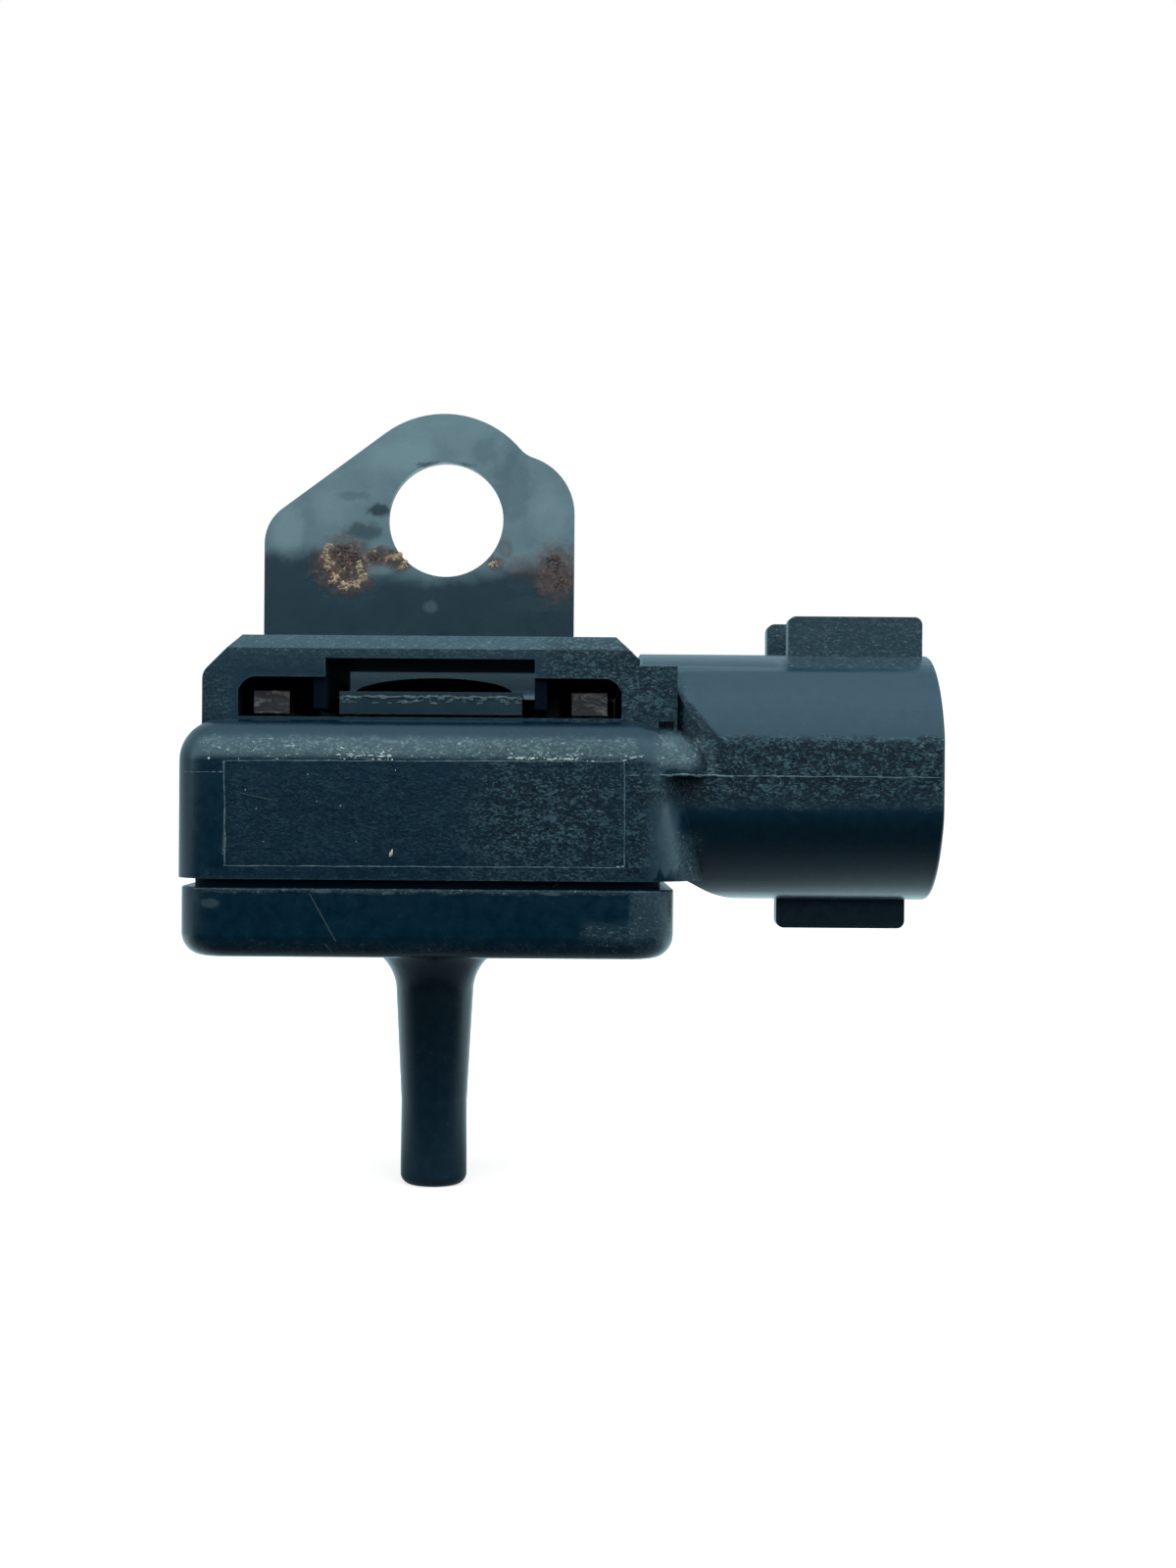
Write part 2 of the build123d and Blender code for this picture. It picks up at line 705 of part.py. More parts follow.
# Pressure cell: stem with glass-sealed leads, cap, pipe, pedestal and sensing chip
with BuildPart() as cell_stem:
    with BuildSketch(Plane.XY.offset(board_top)) as stem_plan:
        with Locations((0, middle_y)):
            Circle(stem_d / 2)
            Circle(pipe_d / 2, mode=Mode.SUBTRACT)
        with Locations(*lead_places):
            Circle(bead_glass_d / 2, mode=Mode.SUBTRACT)
    extrude(amount=stem_t)
finish(cell_stem.part, "cell_stem")

with BuildPart() as lead_glass:
    with BuildSketch(Plane.XY.offset(board_top)) as glass_plan:
        with Locations(*lead_places):
            Circle(bead_glass_d / 2)
            Circle(lead_d / 2, mode=Mode.SUBTRACT)
    extrude(amount=stem_t)
finish(lead_glass.part, "lead_glass")

with BuildPart() as cell_leads:
    with BuildSketch(Plane.XY.offset(board_bottom - lead_below)) as lead_plan:
        with Locations(*lead_places):
            Circle(lead_d / 2)
    extrude(amount=stem_top + lead_above - board_bottom + lead_below)
finish(cell_leads.part, "cell_leads")

with BuildPart() as cell_pipe:
    pipe_foot = boss_top - pipe_into_port
    with BuildSketch(Plane.XY.offset(pipe_foot)) as pipe_plan:
        with Locations((0, middle_y)):
            Circle(pipe_d / 2)
            Circle(pipe_bore / 2, mode=Mode.SUBTRACT)
    extrude(amount=stem_top - pipe_foot)
finish(cell_pipe.part, "cell_pipe")

with BuildPart() as cell_cap:
    with BuildSketch(front_plane(middle_y)) as cap_section:
        with BuildLine():
            Polyline(
                (cap_d / 2 - cap_t, stem_top),
                (stem_d / 2, stem_top),
                (stem_d / 2, stem_top + cap_t),
                (cap_d / 2, stem_top + cap_t),
                (cap_d / 2, stem_top + cap_h),
                (0, stem_top + cap_h),
                (0, stem_top + cap_h - cap_t),
                (cap_d / 2 - cap_t, stem_top + cap_h - cap_t),
                close=True,
            )
        make_face()
    revolve(axis=Axis((0, middle_y, 0), (0, 0, 1)))
    chamfer(cell_cap.faces().sort_by(Axis.Z)[-1].edges(), cap_t / 2)
finish(cell_cap.part, "cell_cap")

with BuildPart() as glass_pedestal:
    with BuildSketch(Plane.XY.offset(stem_top)) as pedestal_plan:
        with Locations((0, middle_y)):
            Rectangle(pedestal_w, pedestal_w)
            Circle(pedestal_bore / 2, mode=Mode.SUBTRACT)
    extrude(amount=pedestal_h)
finish(glass_pedestal.part, "glass_pedestal")

with BuildPart() as pressure_chip:
    chip_bottom = stem_top + pedestal_h
    with BuildSketch(Plane.XY.offset(chip_bottom)) as chip_plan:
        with Locations((0, middle_y)):
            Rectangle(pedestal_w, pedestal_w)
    extrude(amount=chip_h)
    with BuildSketch(Plane.XY.offset(chip_bottom)) as diaphragm:
        with Locations((0, middle_y)):
            Rectangle(diaphragm_w, diaphragm_w)
    extrude(amount=chip_h - diaphragm_t, mode=Mode.SUBTRACT)
finish(pressure_chip.part, "pressure_chip")

# Seal round the pipe and damping filter below it, both in the port boss
with BuildPart() as port_seal_ring:
    with BuildSketch(Plane.XY.offset(boss_top - seal_inset - seal_h)) as seal_plan:
        with Locations((0, middle_y)):
            Circle(port_d / 2)
            Circle(pipe_d / 2, mode=Mode.SUBTRACT)
    extrude(amount=seal_h)
finish(port_seal_ring.part, "port_seal_ring")

with BuildPart() as port_filter:
    with BuildSketch(Plane.XY.offset(port_floor)) as filter_plan:
        with Locations((0, middle_y)):
            Circle(port_d / 2)
    extrude(amount=filter_t)
finish(port_filter.part, "port_filter")

# Parts on the circuit board
with BuildPart() as amplifier_ic:
    with BuildSketch(Plane.XY.offset(board_top + amplifier_stand)) as amplifier_plan:
        with Locations((chip_x, middle_y)):
            Rectangle(amplifier_w, amplifier_l)
    extrude(amount=amplifier_h)
    amplifier_middle = board_top + amplifier_stand + amplifier_h / 2
    leg_ys = [
        middle_y + amplifier_leg_pitch * (number - (amplifier_legs - 1) / 2)
        for number in range(amplifier_legs)
    ]
    for leg_y in leg_ys:
        with BuildSketch(front_plane(leg_y - amplifier_leg_w / 2)) as legs:
            foot = amplifier_leg_t
            reach = amplifier_w / 2 + amplifier_leg_reach
            with Locations((chip_x, amplifier_middle)):
                Rectangle(2 * reach, foot)
            for side in (-1, 1):
                with Locations((chip_x + side * (reach - foot / 2), board_top)):
                    leg_rise = amplifier_middle + foot / 2 - board_top
                    Rectangle(foot, leg_rise, align=(Align.CENTER, Align.MIN))
        extrude(amount=-amplifier_leg_w)
finish(amplifier_ic.part, "amplifier_ic")

with BuildPart() as noise_capacitors:
    with BuildSketch(Plane.XY.offset(board_top)) as capacitor_plan:
        with Locations(*[(capacitor_x, y) for y in terminal_ys]):
            Rectangle(capacitor_w, capacitor_l)
    extrude(amount=capacitor_h)
finish(noise_capacitors.part, "noise_capacitors")

with BuildPart() as trim_resistors:
    resistor_ys = [
        middle_y + side * (resistor_first + resistor_pitch * row) for side in (-1, 1) for row in (0, 1)
    ]
    with BuildSketch(Plane.XY.offset(board_top)) as resistor_plan:
        with Locations(*[(chip_x, y) for y in resistor_ys]):
            Rectangle(resistor_l, resistor_w)
    extrude(amount=resistor_h)
finish(trim_resistors.part, "trim_resistors")

# Soft gel that covers the circuit round these parts
with BuildPart() as protective_gel:
    with BuildSketch(Plane.XY.offset(board_top)) as gel_plan:
        with Locations((0, middle_y)):
            gel_x = shelf_x - gel_clear
            gel_y = shelf_y - gel_clear
            RectangleRounded(2 * gel_x, 2 * gel_y, inner_corner - gel_clear)
            Circle(stem_d / 2, mode=Mode.SUBTRACT)
    extrude(amount=gel_t)
    covered = [amplifier_ic.part, noise_capacitors.part, trim_resistors.part, terminal_solder.part]
    for covered_part in covered + tail_cuts:
        add(covered_part, mode=Mode.SUBTRACT)
finish(protective_gel.part, "protective_gel")
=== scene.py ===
import math
import bmesh
import bpy
import numpy as np
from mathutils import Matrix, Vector


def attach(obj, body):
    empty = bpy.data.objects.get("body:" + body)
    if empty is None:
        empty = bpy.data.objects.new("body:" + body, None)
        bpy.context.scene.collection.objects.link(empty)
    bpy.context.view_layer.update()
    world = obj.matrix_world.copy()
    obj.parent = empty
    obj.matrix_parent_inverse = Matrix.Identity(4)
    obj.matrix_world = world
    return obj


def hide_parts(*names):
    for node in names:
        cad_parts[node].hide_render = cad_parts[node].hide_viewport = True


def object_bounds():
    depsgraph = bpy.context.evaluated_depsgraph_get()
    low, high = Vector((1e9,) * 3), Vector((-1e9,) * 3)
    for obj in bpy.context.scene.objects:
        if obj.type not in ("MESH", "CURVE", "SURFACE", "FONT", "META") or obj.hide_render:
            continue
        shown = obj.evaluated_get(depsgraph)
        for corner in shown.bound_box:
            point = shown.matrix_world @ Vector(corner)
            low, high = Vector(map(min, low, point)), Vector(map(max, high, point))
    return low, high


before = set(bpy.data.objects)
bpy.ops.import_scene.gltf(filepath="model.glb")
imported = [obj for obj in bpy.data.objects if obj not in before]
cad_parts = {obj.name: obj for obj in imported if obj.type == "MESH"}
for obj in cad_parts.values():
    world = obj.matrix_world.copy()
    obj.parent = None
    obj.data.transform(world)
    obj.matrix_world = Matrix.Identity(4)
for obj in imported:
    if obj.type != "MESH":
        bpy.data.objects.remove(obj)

mm = 0.001
cadLow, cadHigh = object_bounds()
print("frame loaded")

# camera, light and floor
cameraSettings = {
    "place": (7.3, -159.5, -18.36),  # mm, in the row frame
    "lens": 52.63,
    "sensor": 36.0,
    "rollDegrees": 0.43,  # the sensor leans a little in the photograph
    "shiftX": 0.025,
}
studioSettings = {
    "ambient": 0.50,  # world strength for diffuse light
    # mirror light by the angle up from the front horizon, 0 to 180 degrees, over half a turn
    "overhead": ((0.0, 0.02), (2.2, 0.07), (5.2, 0.28), (6.8, 1.7), (9.5, 2.5), (78.0, 2.5), (96.0, 1.7),
                 (120.0, 0.85), (170.0, 0.45)),
    "glossTint": (0.55, 0.88, 1.0, 1.0),
    "sideGloss": 1.3,  # a lower light in front to the right
    "sideFrom": (0.30, 0.54),  # its turn from the front, in radians: from nothing to full
    "sideTo": (1.35, 1.55),
    "sideLow": (-0.35, -0.15),  # height of the ray's direction at its lower and upper border
    "sideHigh": (0.35, 0.55),
    "softboxRadiance": 2.3,
    "softboxSize": (0.5, 0.34),
    "softboxPlace": (0.04, -0.12, 0.2),
    "softboxAim": (0.0, -0.01, -0.02),
    "floorFront": (0.035, 0.055, 0.065, 1.0),
    "floorBack": (0.56, 0.80, 0.88, 1.0),
    "floorPaper": (0.86, 0.87, 0.87, 1.0),
    "floorTurn": (-0.035, 0.01),  # y where its dark front gives way to the pale back, in metres
    "floorHalf": 6.0,
    "floorGap": 0.00002,
    "floorLift": 0.66,  # glow that brings the paper up to white for the camera
}


def fill(tree, node, inputs):
    # each input of the node gets a value, or a link from a socket
    for name, value in inputs.items():
        if isinstance(value, bpy.types.NodeSocket):
            tree.links.new(value, node.inputs[name])
        else:
            node.inputs[name].default_value = value


def addNode(tree, kind, inputs=None, **settings):
    # one shader node: settings are its attributes, inputs are values or sockets to join
    node = tree.nodes.new(kind)
    for name, value in settings.items():
        setattr(node, name, value)
    fill(tree, node, inputs or {})
    return node


def calc(tree, operation, first, second=0.0, clamp=False):
    return addNode(tree, "ShaderNodeMath", {0: first, 1: second}, operation=operation,
                   use_clamp=clamp).outputs[0]


def product(tree, first, *others):
    # the masks or values multiplied with each other
    for other in others:
        first = calc(tree, "MULTIPLY", first, other)
    return first


def plus(tree, first, *others):
    for other in others:
        first = calc(tree, "ADD", first, other)
    return first


def vector(tree, operation, first, second, output="Vector"):
    node = addNode(tree, "ShaderNodeVectorMath", {0: first, 1: second}, operation=operation)
    return node.outputs[output]


def axes(tree, place):
    return addNode(tree, "ShaderNodeSeparateXYZ", {0: place}).outputs


def largest(tree, masks):
    # the largest of several masks, each joined as soon as it is made
    top = 0.0
    for mask in masks:
        top = calc(tree, "MAXIMUM", top, mask)
    return top


def mapRange(tree, value, low, high, toLow=0.0, toHigh=1.0, smooth=False):
    # straight or smooth step of value from low..high to toLow..toHigh
    return addNode(tree, "ShaderNodeMapRange", {
        "Value": value, "From Min": low, "From Max": high, "To Min": toLow, "To Max": toHigh},
        interpolation_type="SMOOTHSTEP" if smooth else "LINEAR").outputs[0]


def mixColor(tree, factor, low, high):
    # (1 - factor) * low + factor * high
    return addNode(tree, "ShaderNodeMix", {0: factor, 6: low, 7: high}, data_type="RGBA").outputs[2]


def objectPlace(tree):
    return addNode(tree, "ShaderNodeTexCoord").outputs["Object"]


def newMaterial(name):
    material = bpy.data.materials.new(name)
    material.use_nodes = True
    tree = material.node_tree
    return material, tree, tree.nodes["Principled BSDF"]


def newObject(name, data):
    thing = bpy.data.objects.new(name, data)
    bpy.context.scene.collection.objects.link(thing)
    return thing


def makeCamera(cfg):
    data = bpy.data.cameras.new("photoCamera")
    data.sensor_width = cfg["sensor"]
    data.lens = cfg["lens"]
    data.shift_x = cfg["shiftX"]
    data.clip_start = 0.005
    data.clip_end = 50.0
    camera = newObject("photoCamera", data)
    camera.location = Vector(cfg["place"]) * mm
    camera.rotation_euler = (math.pi / 2, -math.radians(cfg["rollDegrees"]), 0.0)
    bpy.context.scene.camera = camera


def makeWorld(cfg):
    # camera and transmission rays see white, diffuse rays a soft ambient, and glossy rays a studio:
    # strength = the larger of a ramp over the angle up from the front horizon and a band to the right
    world = bpy.data.worlds.new("studioWorld")
    bpy.context.scene.world = world
    world.use_nodes = True
    tree = world.node_tree
    tree.nodes.clear()
    path = addNode(tree, "ShaderNodeLightPath")
    split = axes(tree, addNode(tree, "ShaderNodeTexCoord").outputs["Generated"])
    forward = product(tree, split["Y"], -1.0)
    tilt = calc(tree, "ARCTAN2", split["Z"], forward)
    ramp = addNode(tree, "ShaderNodeValToRGB", {0: calc(tree, "DIVIDE", tilt, math.pi, True)})
    top = max(strength for angle, strength in cfg["overhead"])
    while len(ramp.color_ramp.elements) < len(cfg["overhead"]):
        ramp.color_ramp.elements.new(0.5)
    for stop, (angle, strength) in zip(ramp.color_ramp.elements, cfg["overhead"]):
        stop.position = angle / 180.0
        stop.color = (strength / top, strength / top, strength / top, 1.0)
    overhead = product(tree, ramp.outputs["Color"], top)
    turn = calc(tree, "ARCTAN2", split["X"], forward)
    rise = mapRange(tree, turn, *cfg["sideFrom"], 0.0, 1.0, True)
    fall = mapRange(tree, turn, *cfg["sideTo"], 1.0, 0.0, True)
    below = mapRange(tree, split["Z"], *cfg["sideLow"], 0.0, 1.0, True)
    above = mapRange(tree, split["Z"], *cfg["sideHigh"], 1.0, 0.0, True)
    side = product(tree, rise, fall, below, above)
    gloss = calc(tree, "MAXIMUM", overhead, product(tree, side, cfg["sideGloss"]))
    seen = calc(tree, "MAXIMUM", path.outputs["Is Camera Ray"], path.outputs["Is Transmission Ray"])
    base = addNode(tree, "ShaderNodeMix", {
        "Factor": path.outputs["Is Glossy Ray"], 2: cfg["ambient"], 3: gloss})
    level = addNode(tree, "ShaderNodeMix", {"Factor": seen, 2: base.outputs[0], 3: 1.0})
    tint = mixColor(tree, path.outputs["Is Glossy Ray"], (1.0, 1.0, 1.0, 1.0), cfg["glossTint"])
    back = addNode(tree, "ShaderNodeBackground", {"Color": tint, "Strength": level.outputs[0]})
    out = addNode(tree, "ShaderNodeOutputWorld")
    tree.links.new(back.outputs[0], out.inputs["Surface"])


def makeSoftbox(cfg):
    data = bpy.data.lights.new("softbox", "AREA")
    data.shape = "RECTANGLE"
    data.size, data.size_y = cfg["softboxSize"]
    data.energy = cfg["softboxRadiance"] * math.pi * data.size * data.size_y
    box = newObject("softbox", data)
    box.location = cfg["softboxPlace"]
    aim = Vector(cfg["softboxAim"]) - box.location
    box.rotation_euler = aim.to_track_quat("-Z", "Y").to_euler()
    box.visible_camera = False
    box.visible_glossy = False


def makeFloor(cfg):
    # pale paper; away from the camera's own rays it is darker in front, where the studio is dark
    half, level = cfg["floorHalf"], cadLow.z - cfg["floorGap"]
    mesh = bpy.data.meshes.new("floor")
    mesh.from_pydata([(-half, -half, level), (half, -half, level), (half, half, level),
                      (-half, half, level)], [], [(0, 1, 2, 3)])
    material, tree, shader = newMaterial("floorPaper")
    tree.nodes.clear()
    path = addNode(tree, "ShaderNodeLightPath")
    depth = mapRange(tree, axes(tree, objectPlace(tree))["Y"], *cfg["floorTurn"], 0.0, 1.0, True)
    shade = mixColor(tree, depth, cfg["floorFront"], cfg["floorBack"])
    color = mixColor(tree, path.outputs["Is Camera Ray"], shade, cfg["floorPaper"])
    paper = addNode(tree, "ShaderNodeBsdfDiffuse", {"Color": color})
    lift = product(tree, path.outputs["Is Camera Ray"], cfg["floorLift"])
    glow = addNode(tree, "ShaderNodeEmission", {"Color": (1, 1, 1, 1), "Strength": lift})
    both = addNode(tree, "ShaderNodeAddShader", {0: paper.outputs[0], 1: glow.outputs[0]})
    out = addNode(tree, "ShaderNodeOutputMaterial")
    tree.links.new(both.outputs[0], out.inputs["Surface"])
    mesh.materials.append(material)
    newObject("floor", mesh)


makeCamera(cameraSettings)
makeWorld(studioSettings)
makeSoftbox(studioSettings)
makeFloor(studioSettings)
bpy.context.scene.view_settings.view_transform = "Standard"
print("camera, light and floor made")


# shared effects, each a node group with named inputs and outputs
def newGroup(name, inputs, outputs):
    group = bpy.data.node_groups.new(name, "ShaderNodeTree")
    for label, value in inputs.items():
        kind = "NodeSocketVector" if isinstance(value, tuple) else "NodeSocketFloat"
        group.interface.new_socket(label, in_out="INPUT", socket_type=kind).default_value = value
    for label in outputs:
        group.interface.new_socket(label, in_out="OUTPUT", socket_type="NodeSocketFloat")
    return group, addNode(group, "NodeGroupInput").outputs, addNode(group, "NodeGroupOutput").inputs


def placeGroup(tree, group, **inputs):
    return addNode(tree, "ShaderNodeGroup", inputs, node_tree=group).outputs


def scaledPlace(tree, factors):
    # Object coordinates with each axis multiplied by its own factor
    return vector(tree, "MULTIPLY", objectPlace(tree), factors)


def noise(tree, place, scale, detail, roughness=0.5, distortion=0.0):
    return addNode(tree, "ShaderNodeTexNoise", {
        "Vector": place, "Scale": scale, "Detail": detail, "Roughness": roughness,
        "Distortion": distortion}).outputs[0]


def fineGrain():
    # height = coarse noise + 0.4 fine noise of the moulded skin; mask = the coarse noise alone
    group, given, out = newGroup("fineGrain", {"Size": 0.25, "Fine": 0.06}, ("Height", "Mask"))
    place = objectPlace(group)
    coarse = noise(group, place, calc(group, "DIVIDE", 1000.0, given["Size"]), 4.0, 0.6)
    fine = noise(group, place, calc(group, "DIVIDE", 1000.0, given["Fine"]), 2.0)
    group.links.new(plus(group, coarse, product(group, fine, 0.4)), out["Height"])
    group.links.new(coarse, out["Mask"])
    return group


def leatherGrain():
    # flat wrinkles: two noises on coordinates stretched along X, less round pits; crest = its high parts
    group, given, out = newGroup("leatherGrain", {"Size": 1.0}, ("Height", "Crest", "Speck"))
    stretch = scaledPlace(group, (2700.0, 3300.0, 4300.0))
    scale = calc(group, "DIVIDE", 1.0, given["Size"])
    fold = noise(group, stretch, scale, 4.0, 0.66, 1.4)
    swell = noise(group, stretch, product(group, scale, 0.32), 1.0)
    pit = addNode(group, "ShaderNodeTexVoronoi", {
        "Vector": stretch, "Scale": product(group, scale, 1.3)}).outputs["Distance"]
    high = plus(group, calc(group, "SUBTRACT", fold, product(group, pit, 0.22)),
                product(group, calc(group, "SUBTRACT", swell, 0.5), 0.22))
    speck = noise(group, stretch, 1.1, 3.0, 0.7)
    group.links.new(high, out["Height"])
    group.links.new(mapRange(group, high, 0.38, 0.51), out["Crest"])
    group.links.new(mapRange(group, speck, 0.61, 0.69), out["Speck"])
    return group


def edgeRub():
    # mask = 1 - dot(rounded normal, face normal), broken up by noise
    group, given, out = newGroup("edgeRub", {"Radius": 0.00025, "Amount": 1.0}, ("Mask",))
    normal = addNode(group, "ShaderNodeNewGeometry").outputs["True Normal"]
    bevel = addNode(group, "ShaderNodeBevel", {"Radius": given["Radius"]}, samples=4)
    edge = mapRange(group, vector(group, "DOT_PRODUCT", bevel.outputs[0], normal, "Value"), 0.97, 0.72)
    broken = mapRange(group, noise(group, objectPlace(group), 2600.0, 5.0, 0.65), 0.36, 0.62)
    mask = product(group, edge, broken)
    group.links.new(calc(group, "MULTIPLY", mask, given["Amount"], True), out["Mask"])
    return group


def shakenPlace():
    # place = Object coordinates in mm, shake = noise about zero that makes the border of a patch ragged
    group, given, out = newGroup("shakenPlace", {}, ("Shake",))
    group.interface.new_socket("Place", in_out="OUTPUT", socket_type="NodeSocketVector")
    shake = noise(group, objectPlace(group), 900.0, 3.0, 0.6)
    group.links.new(calc(group, "SUBTRACT", shake, 0.5), out["Shake"])
    group.links.new(scaledPlace(group, (1000.0, 1000.0, 1000.0)), out["Place"])
    return group


def boxPatch():
    # mask = product over X, Y and Z of a soft step in at the low side and out at the high side, in mm
    group, given, out = newGroup("boxPatch", {
        "Place": (0.0, 0.0, 0.0), "Shake": 0.0, "Low": (-99.0, -99.0, -99.0), "High": (99.0, 99.0, 99.0),
        "Soft": 0.3, "Ragged": 0.5}, ("Mask",))
    at = vector(group, "ADD", given["Place"], product(group, given["Shake"], given["Ragged"]))
    steps = []
    for side, starts, ends in (("Low", 0.0, 1.0), ("High", 1.0, 0.0)):
        lowest = vector(group, "SUBTRACT", given[side], given["Soft"])
        highest = vector(group, "ADD", given[side], given["Soft"])
        steps.append(addNode(group, "ShaderNodeMapRange", {
            6: at, 7: lowest, 8: highest, 9: (starts,) * 3, 10: (ends,) * 3},
            data_type="FLOAT_VECTOR", interpolation_type="SMOOTHSTEP").outputs[1])
    split = axes(group, vector(group, "MULTIPLY", *steps))
    group.links.new(product(group, split["X"], split["Y"], split["Z"]), out["Mask"])
    return group


def roundSpot():
    # mask = soft step of an ellipse's distance about a point of the front view, in mm, less noise
    group, given, out = newGroup("roundSpot", {
        "Centre": (0.0, 0.0, 0.0), "Half": (1.0, 1.0, 1.0), "Ragged": 0.6, "Soft": 0.25}, ("Mask",))
    off = vector(group, "SUBTRACT", scaledPlace(group, (1000.0, 0.0, 1000.0)), given["Centre"])
    off = vector(group, "DIVIDE", off, given["Half"])
    shake = calc(group, "SUBTRACT", noise(group, objectPlace(group), 1400.0, 4.0, 0.65), 0.5)
    away = plus(group, vector(group, "DISTANCE", off, (0.0, 0.0, 0.0), "Value"),
                product(group, shake, given["Ragged"]))
    group.links.new(mapRange(group, away, plus(group, 1.0, given["Soft"]),
                             calc(group, "SUBTRACT", 1.0, given["Soft"]), smooth=True), out["Mask"])
    return group


def lineScratch():
    # mask = soft step of the distance from a straight stroke of the front view, in mm:
    # along = clamped share of the stroke nearest to the point, miss = distance from there
    group, given, out = newGroup("lineScratch", {
        "From": (0.0, 0.0, 0.0), "To": (1.0, 0.0, 1.0), "Width": 0.06}, ("Mask",))
    off = vector(group, "SUBTRACT", scaledPlace(group, (1000.0, 0.0, 1000.0)), given["From"])
    run = vector(group, "SUBTRACT", given["To"], given["From"])
    along = calc(group, "DIVIDE", vector(group, "DOT_PRODUCT", off, run, "Value"),
                 vector(group, "DOT_PRODUCT", run, run, "Value"), True)
    miss = vector(group, "DISTANCE", off, vector(group, "MULTIPLY", run, along), "Value")
    group.links.new(mapRange(group, miss, given["Width"], product(group, given["Width"], 0.3),
                             smooth=True), out["Mask"])
    return group


grainGroup = fineGrain()
leatherGroup = leatherGrain()
rubGroup = edgeRub()
shakenGroup = shakenPlace()
patchGroup = boxPatch()
spotGroup = roundSpot()
scratchGroup = lineScratch()
print("shared effects made")


def surface(tree, shader, cfg, color, rough, coat, height):
    # joins the sockets and a bump of the height to the shader; its constant inputs come from cfg
    bump = addNode(tree, "ShaderNodeBump", {
        "Strength": cfg["bumpStrength"], "Distance": cfg["bumpDepth"], "Height": height})
    fill(tree, shader, {
        "Base Color": color, "Roughness": rough, "Coat Weight": coat, "Specular IOR Level": cfg["specular"],
        "Coat Roughness": cfg["coatRoughness"], "Coat IOR": cfg["coatIor"], "Normal": bump.outputs[0]})


def spotMask(tree, x, z, halfX, halfZ, ragged=0.6, soft=0.25):
    return placeGroup(tree, spotGroup, Centre=(x, 0.0, z), Half=(halfX, 1.0, halfZ), Ragged=ragged,
                      Soft=soft)["Mask"]


def patchBox(tree, name, box, soft, ragged=0.5):
    # box is ((low x, high x), (low y, high y), (low z, high z)) in mm; a fourth pair, slope and limit,
    # ends the patch where x + slope * z passes the limit
    ground = tree.nodes.get("ground")
    if not ground:
        ground = placeGroup(tree, shakenGroup)["Place"].node
        ground.name = "ground"
    place, shake = ground.outputs["Place"], ground.outputs["Shake"]
    low, high = zip(*box[:3])
    mask = placeGroup(tree, patchGroup, Place=place, Shake=shake, Low=low, High=high, Soft=soft,
                      Ragged=ragged)["Mask"]
    mask.node.label = name
    if len(box) > 3:
        slope, limit = box[3]
        slant = plus(tree, vector(tree, "DOT_PRODUCT", place, (1.0, 0.0, slope), "Value"),
                     product(tree, shake, ragged))
        mask = product(tree, mask, mapRange(tree, slant, limit - soft, limit + soft, 1.0, 0.0, True))
    return mask


anywhere = (-99.0, 99.0)
plasticFinish = {
    "deep": (0.0004, 0.0120, 0.0262, 1.0),
    "worn": (0.0015, 0.0192, 0.0345, 1.0),
    "crest": (0.050, 0.112, 0.140, 1.0),
    "valley": (0.0002, 0.0030, 0.0085, 1.0),
    "speck": (0.34, 0.46, 0.48, 1.0),
    "rub": (0.075, 0.125, 0.138, 1.0),
    "roughLow": 0.18,
    "roughHigh": 0.28,
    "specular": 0.15,
    "coatRoughness": 0.24,
    "coatIor": 1.37,
    "bumpStrength": 1.0,
    "bumpDepth": 0.00020,
    "grainHeight": 0.07,
    "leatherCover": 0.92,  # how far the leather's two tones cover the plain ones
    "leatherSpeck": 0.35,
    "leatherRough": 0.05,
    "leatherDull": 0.6,  # share of the coat that is lost there
    "hazeLow": 0.25,  # haze of a worn band down in the wrinkles
    "haze": 0.95,
    "dots": 0.7,
    "wornHeight": 0.5,
    "scratchDepth": 0.3,
    # extra roughness in the painted shade
    "paintedShadeRough": 0.6,
}
